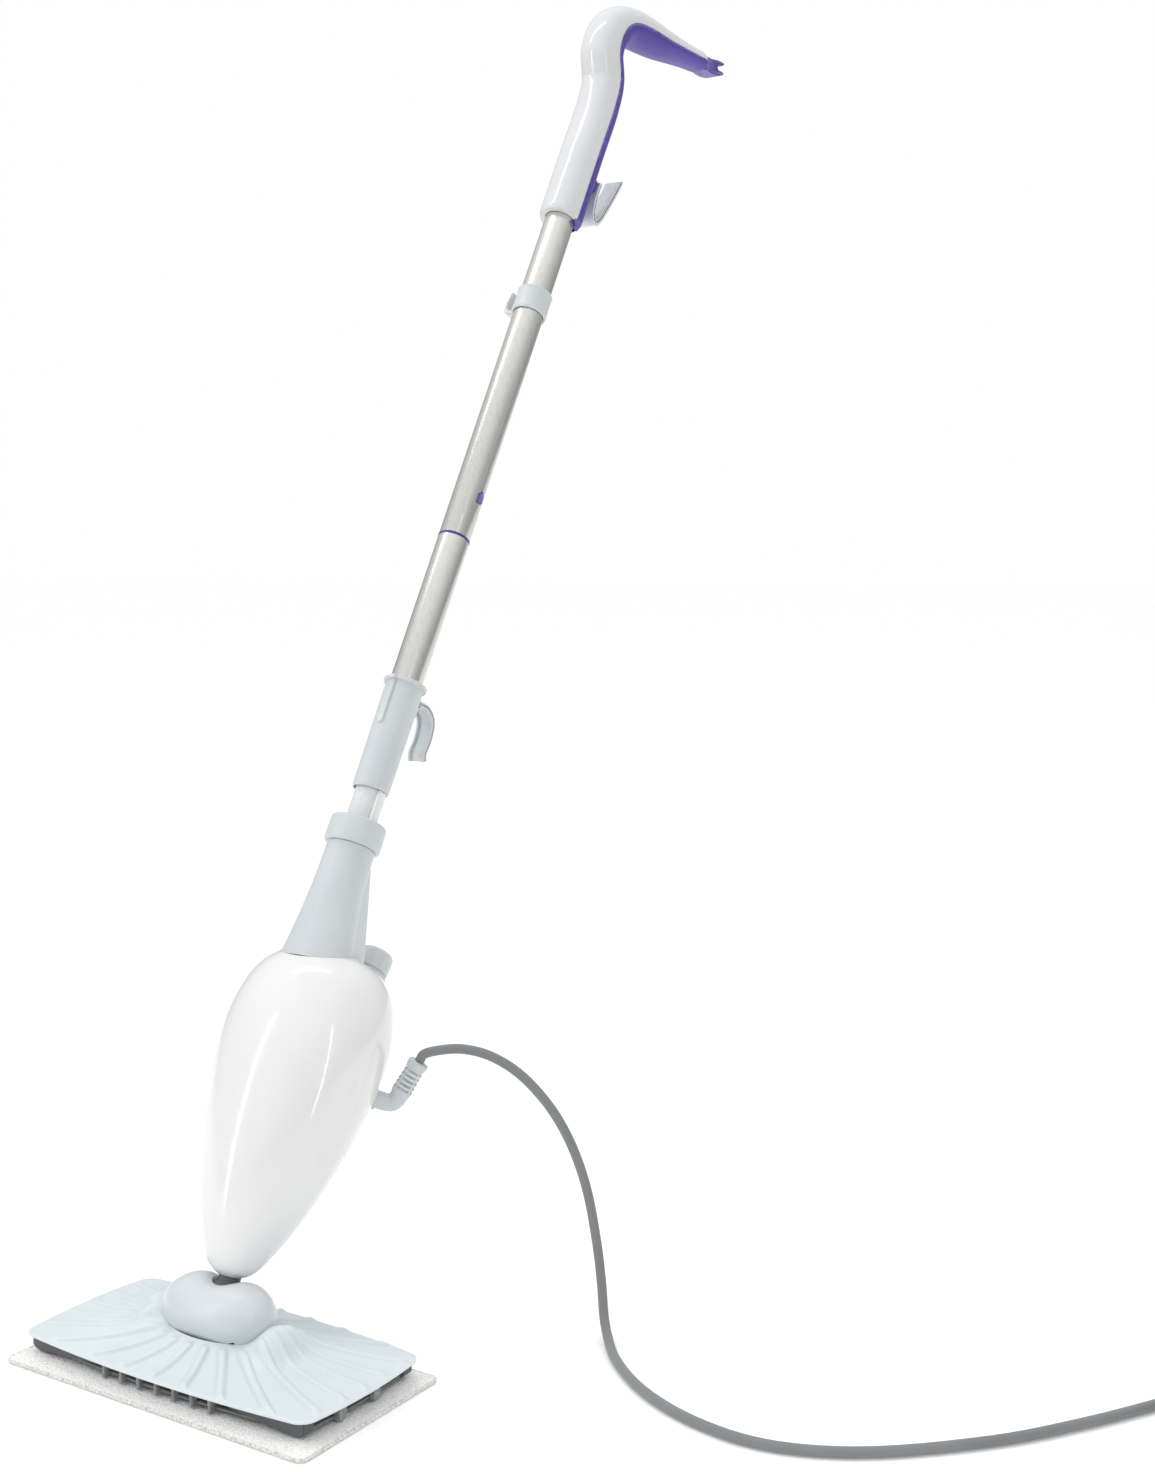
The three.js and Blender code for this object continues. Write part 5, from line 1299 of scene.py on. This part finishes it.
def makePad():
    halfX, halfY = pad["width"] / 2 - 0.6, pad["depth"] / 2 - 0.6
    columns, rows = round(2 * halfX / pad["cell"]), round(2 * halfY / pad["cell"])
    verts, faces = [], []
    for layer in (1, 0):
        for j in range(rows + 1):
            for i in range(columns + 1):
                x, y = lerp(-halfX, halfX, i / columns), lerp(-halfY, halfY, j / rows)
                outX, outY = abs(x) - (halfX - pad["corner"]), abs(y) - (halfY - pad["corner"])
                if outX > 0 and outY > 0:
                    reach = math.hypot(outX, outY)
                    squeeze = max(outX, outY) / reach
                    x = math.copysign(halfX - pad["corner"] + outX * squeeze, x)
                    y = math.copysign(halfY - pad["corner"] + outY * squeeze, y)
                pile = noise.noise(Vector((x * 0.9, y * 0.9,
                            layer * 40))) * pad["pile"] + noise.noise(Vector((x * 0.06, y * 0.06,
                            7))) * 0.35
                z = padThickness(x, y) - 0.4 + pile if layer else 0.5 + abs(pile) * 0.4
                if i in (0, columns) or j in (0, rows):
                    z = pad["edge"] * (0.8 if layer else 0.25)
                verts.append((x, y, z))
    size = (columns + 1) * (rows + 1)
    at = lambda i, j, layer: layer * size + j * (columns + 1) + i
    for j in range(rows):
        for i in range(columns):
            faces.append((at(i, j, 0), at(i + 1, j, 0), at(i + 1, j + 1, 0), at(i, j + 1, 0)))
            faces.append((at(i, j, 1), at(i, j + 1, 1), at(i + 1, j + 1, 1), at(i + 1, j, 1)))
    rim = [(i, 0) for i in range(columns)] + [(columns, j) for j in range(rows)] + [(i, rows)
        for i in range(columns, 0, -1)] + [(0, j) for j in range(rows, 0, -1)]
    for a, b in zip(rim, rim[1:] + rim[:1]):
        faces.append((at(*a, 0), at(*a, 1), at(*b, 1), at(*b, 0)))
    towel = straightenNormals(newObject("mopPad", verts, faces))
    finished(towel, floorFrame, "mop_head", "towel", ["mop_pad"], 180)
    path = padOutline(1.0)
    rings = []
    for i, point in enumerate(path):
        along = (path[(i + 1) % len(path)] - path[i - 1]).normalized()
        out = Vector((along.y, -along.x, 0))
        stitch = 1 + 0.16 * math.sin(i * 2.1)
        rings.append([point + out * (a * stitch) + Vector((0, 0, 1.75 + b * stitch)) for a,
                b in roundedSection(1.0, 1.35, 2, 12)])
    binding = loftRings("padBinding", rings, closed=True)
    finished(binding, floorFrame, "mop_head", "towelEdge", (), 180)
    print("pad made")


makeCover()
makeBarrel()
makeBase()
makePad()
print("mop head made")


carried = {
    "steel": ["pivot_pin_left", "pivot_pin_right", "base_screw_left", "base_screw_right", "shell_screw_1",
        "shell_screw_2", "heating_element",
        "pump_spring", "button_spring", "hook_pin", "handle_screw"],
    "darkGrey": ["bearing_block_left", "bearing_block_right"],
    "brass": ["steam_nozzle", "check_valve", "plug_blade_left", "plug_blade_right", "plug_earth_pin"],
    "hookTape": ["grip_strip_front", "grip_strip_rear"],
    "clearPlastic": ["water_tank", "pump_cylinder", "pump_piston"],
    "aluminium": ["boiler", "thermostat"],
    "silicone": ["terminal_block", "dip_tube", "delivery_hose", "steam_tube"],
    "blackRubber": ["cap_seal"],
}
for finish, names in carried.items():
    for name in names:
        for place in nodes[name].material_slots:
            place.material = materials[finish]


def addFloor():
    size = studio["floorSize"]
    floor = newObject("floor", [(-size, -size, 0), (size, -size, 0), (size, size, 0), (-size, size, 0)],
        [(0, 1, 2, 3)])
    floor.location.z = -0.0002
    material = bpy.data.materials.new("paleFloor")
    material.use_nodes = True
    tree = material.node_tree
    w = Wiring(tree)
    shader = tree.nodes["Principled BSDF"]
    speck = w.ramp(w.noise(w.place(), 35.0, 4.0), 0.3, 0.7)
    w.feed(w.blend(speck, (*studio["floorColor"], 1),
            tuple(c * 0.985 for c in studio["floorColor"]) + (1,)), shader.inputs["Base Color"])
    w.feed(w.ramp(speck, 0.0, 1.0, 0.55, 0.65), shader.inputs["Roughness"])
    shader.inputs["Emission Color"].default_value = (1, 1, 1, 1)
    shader.inputs["Emission Strength"].default_value = studio["floorGlow"]
    floor.data.materials.append(material)


addFloor()
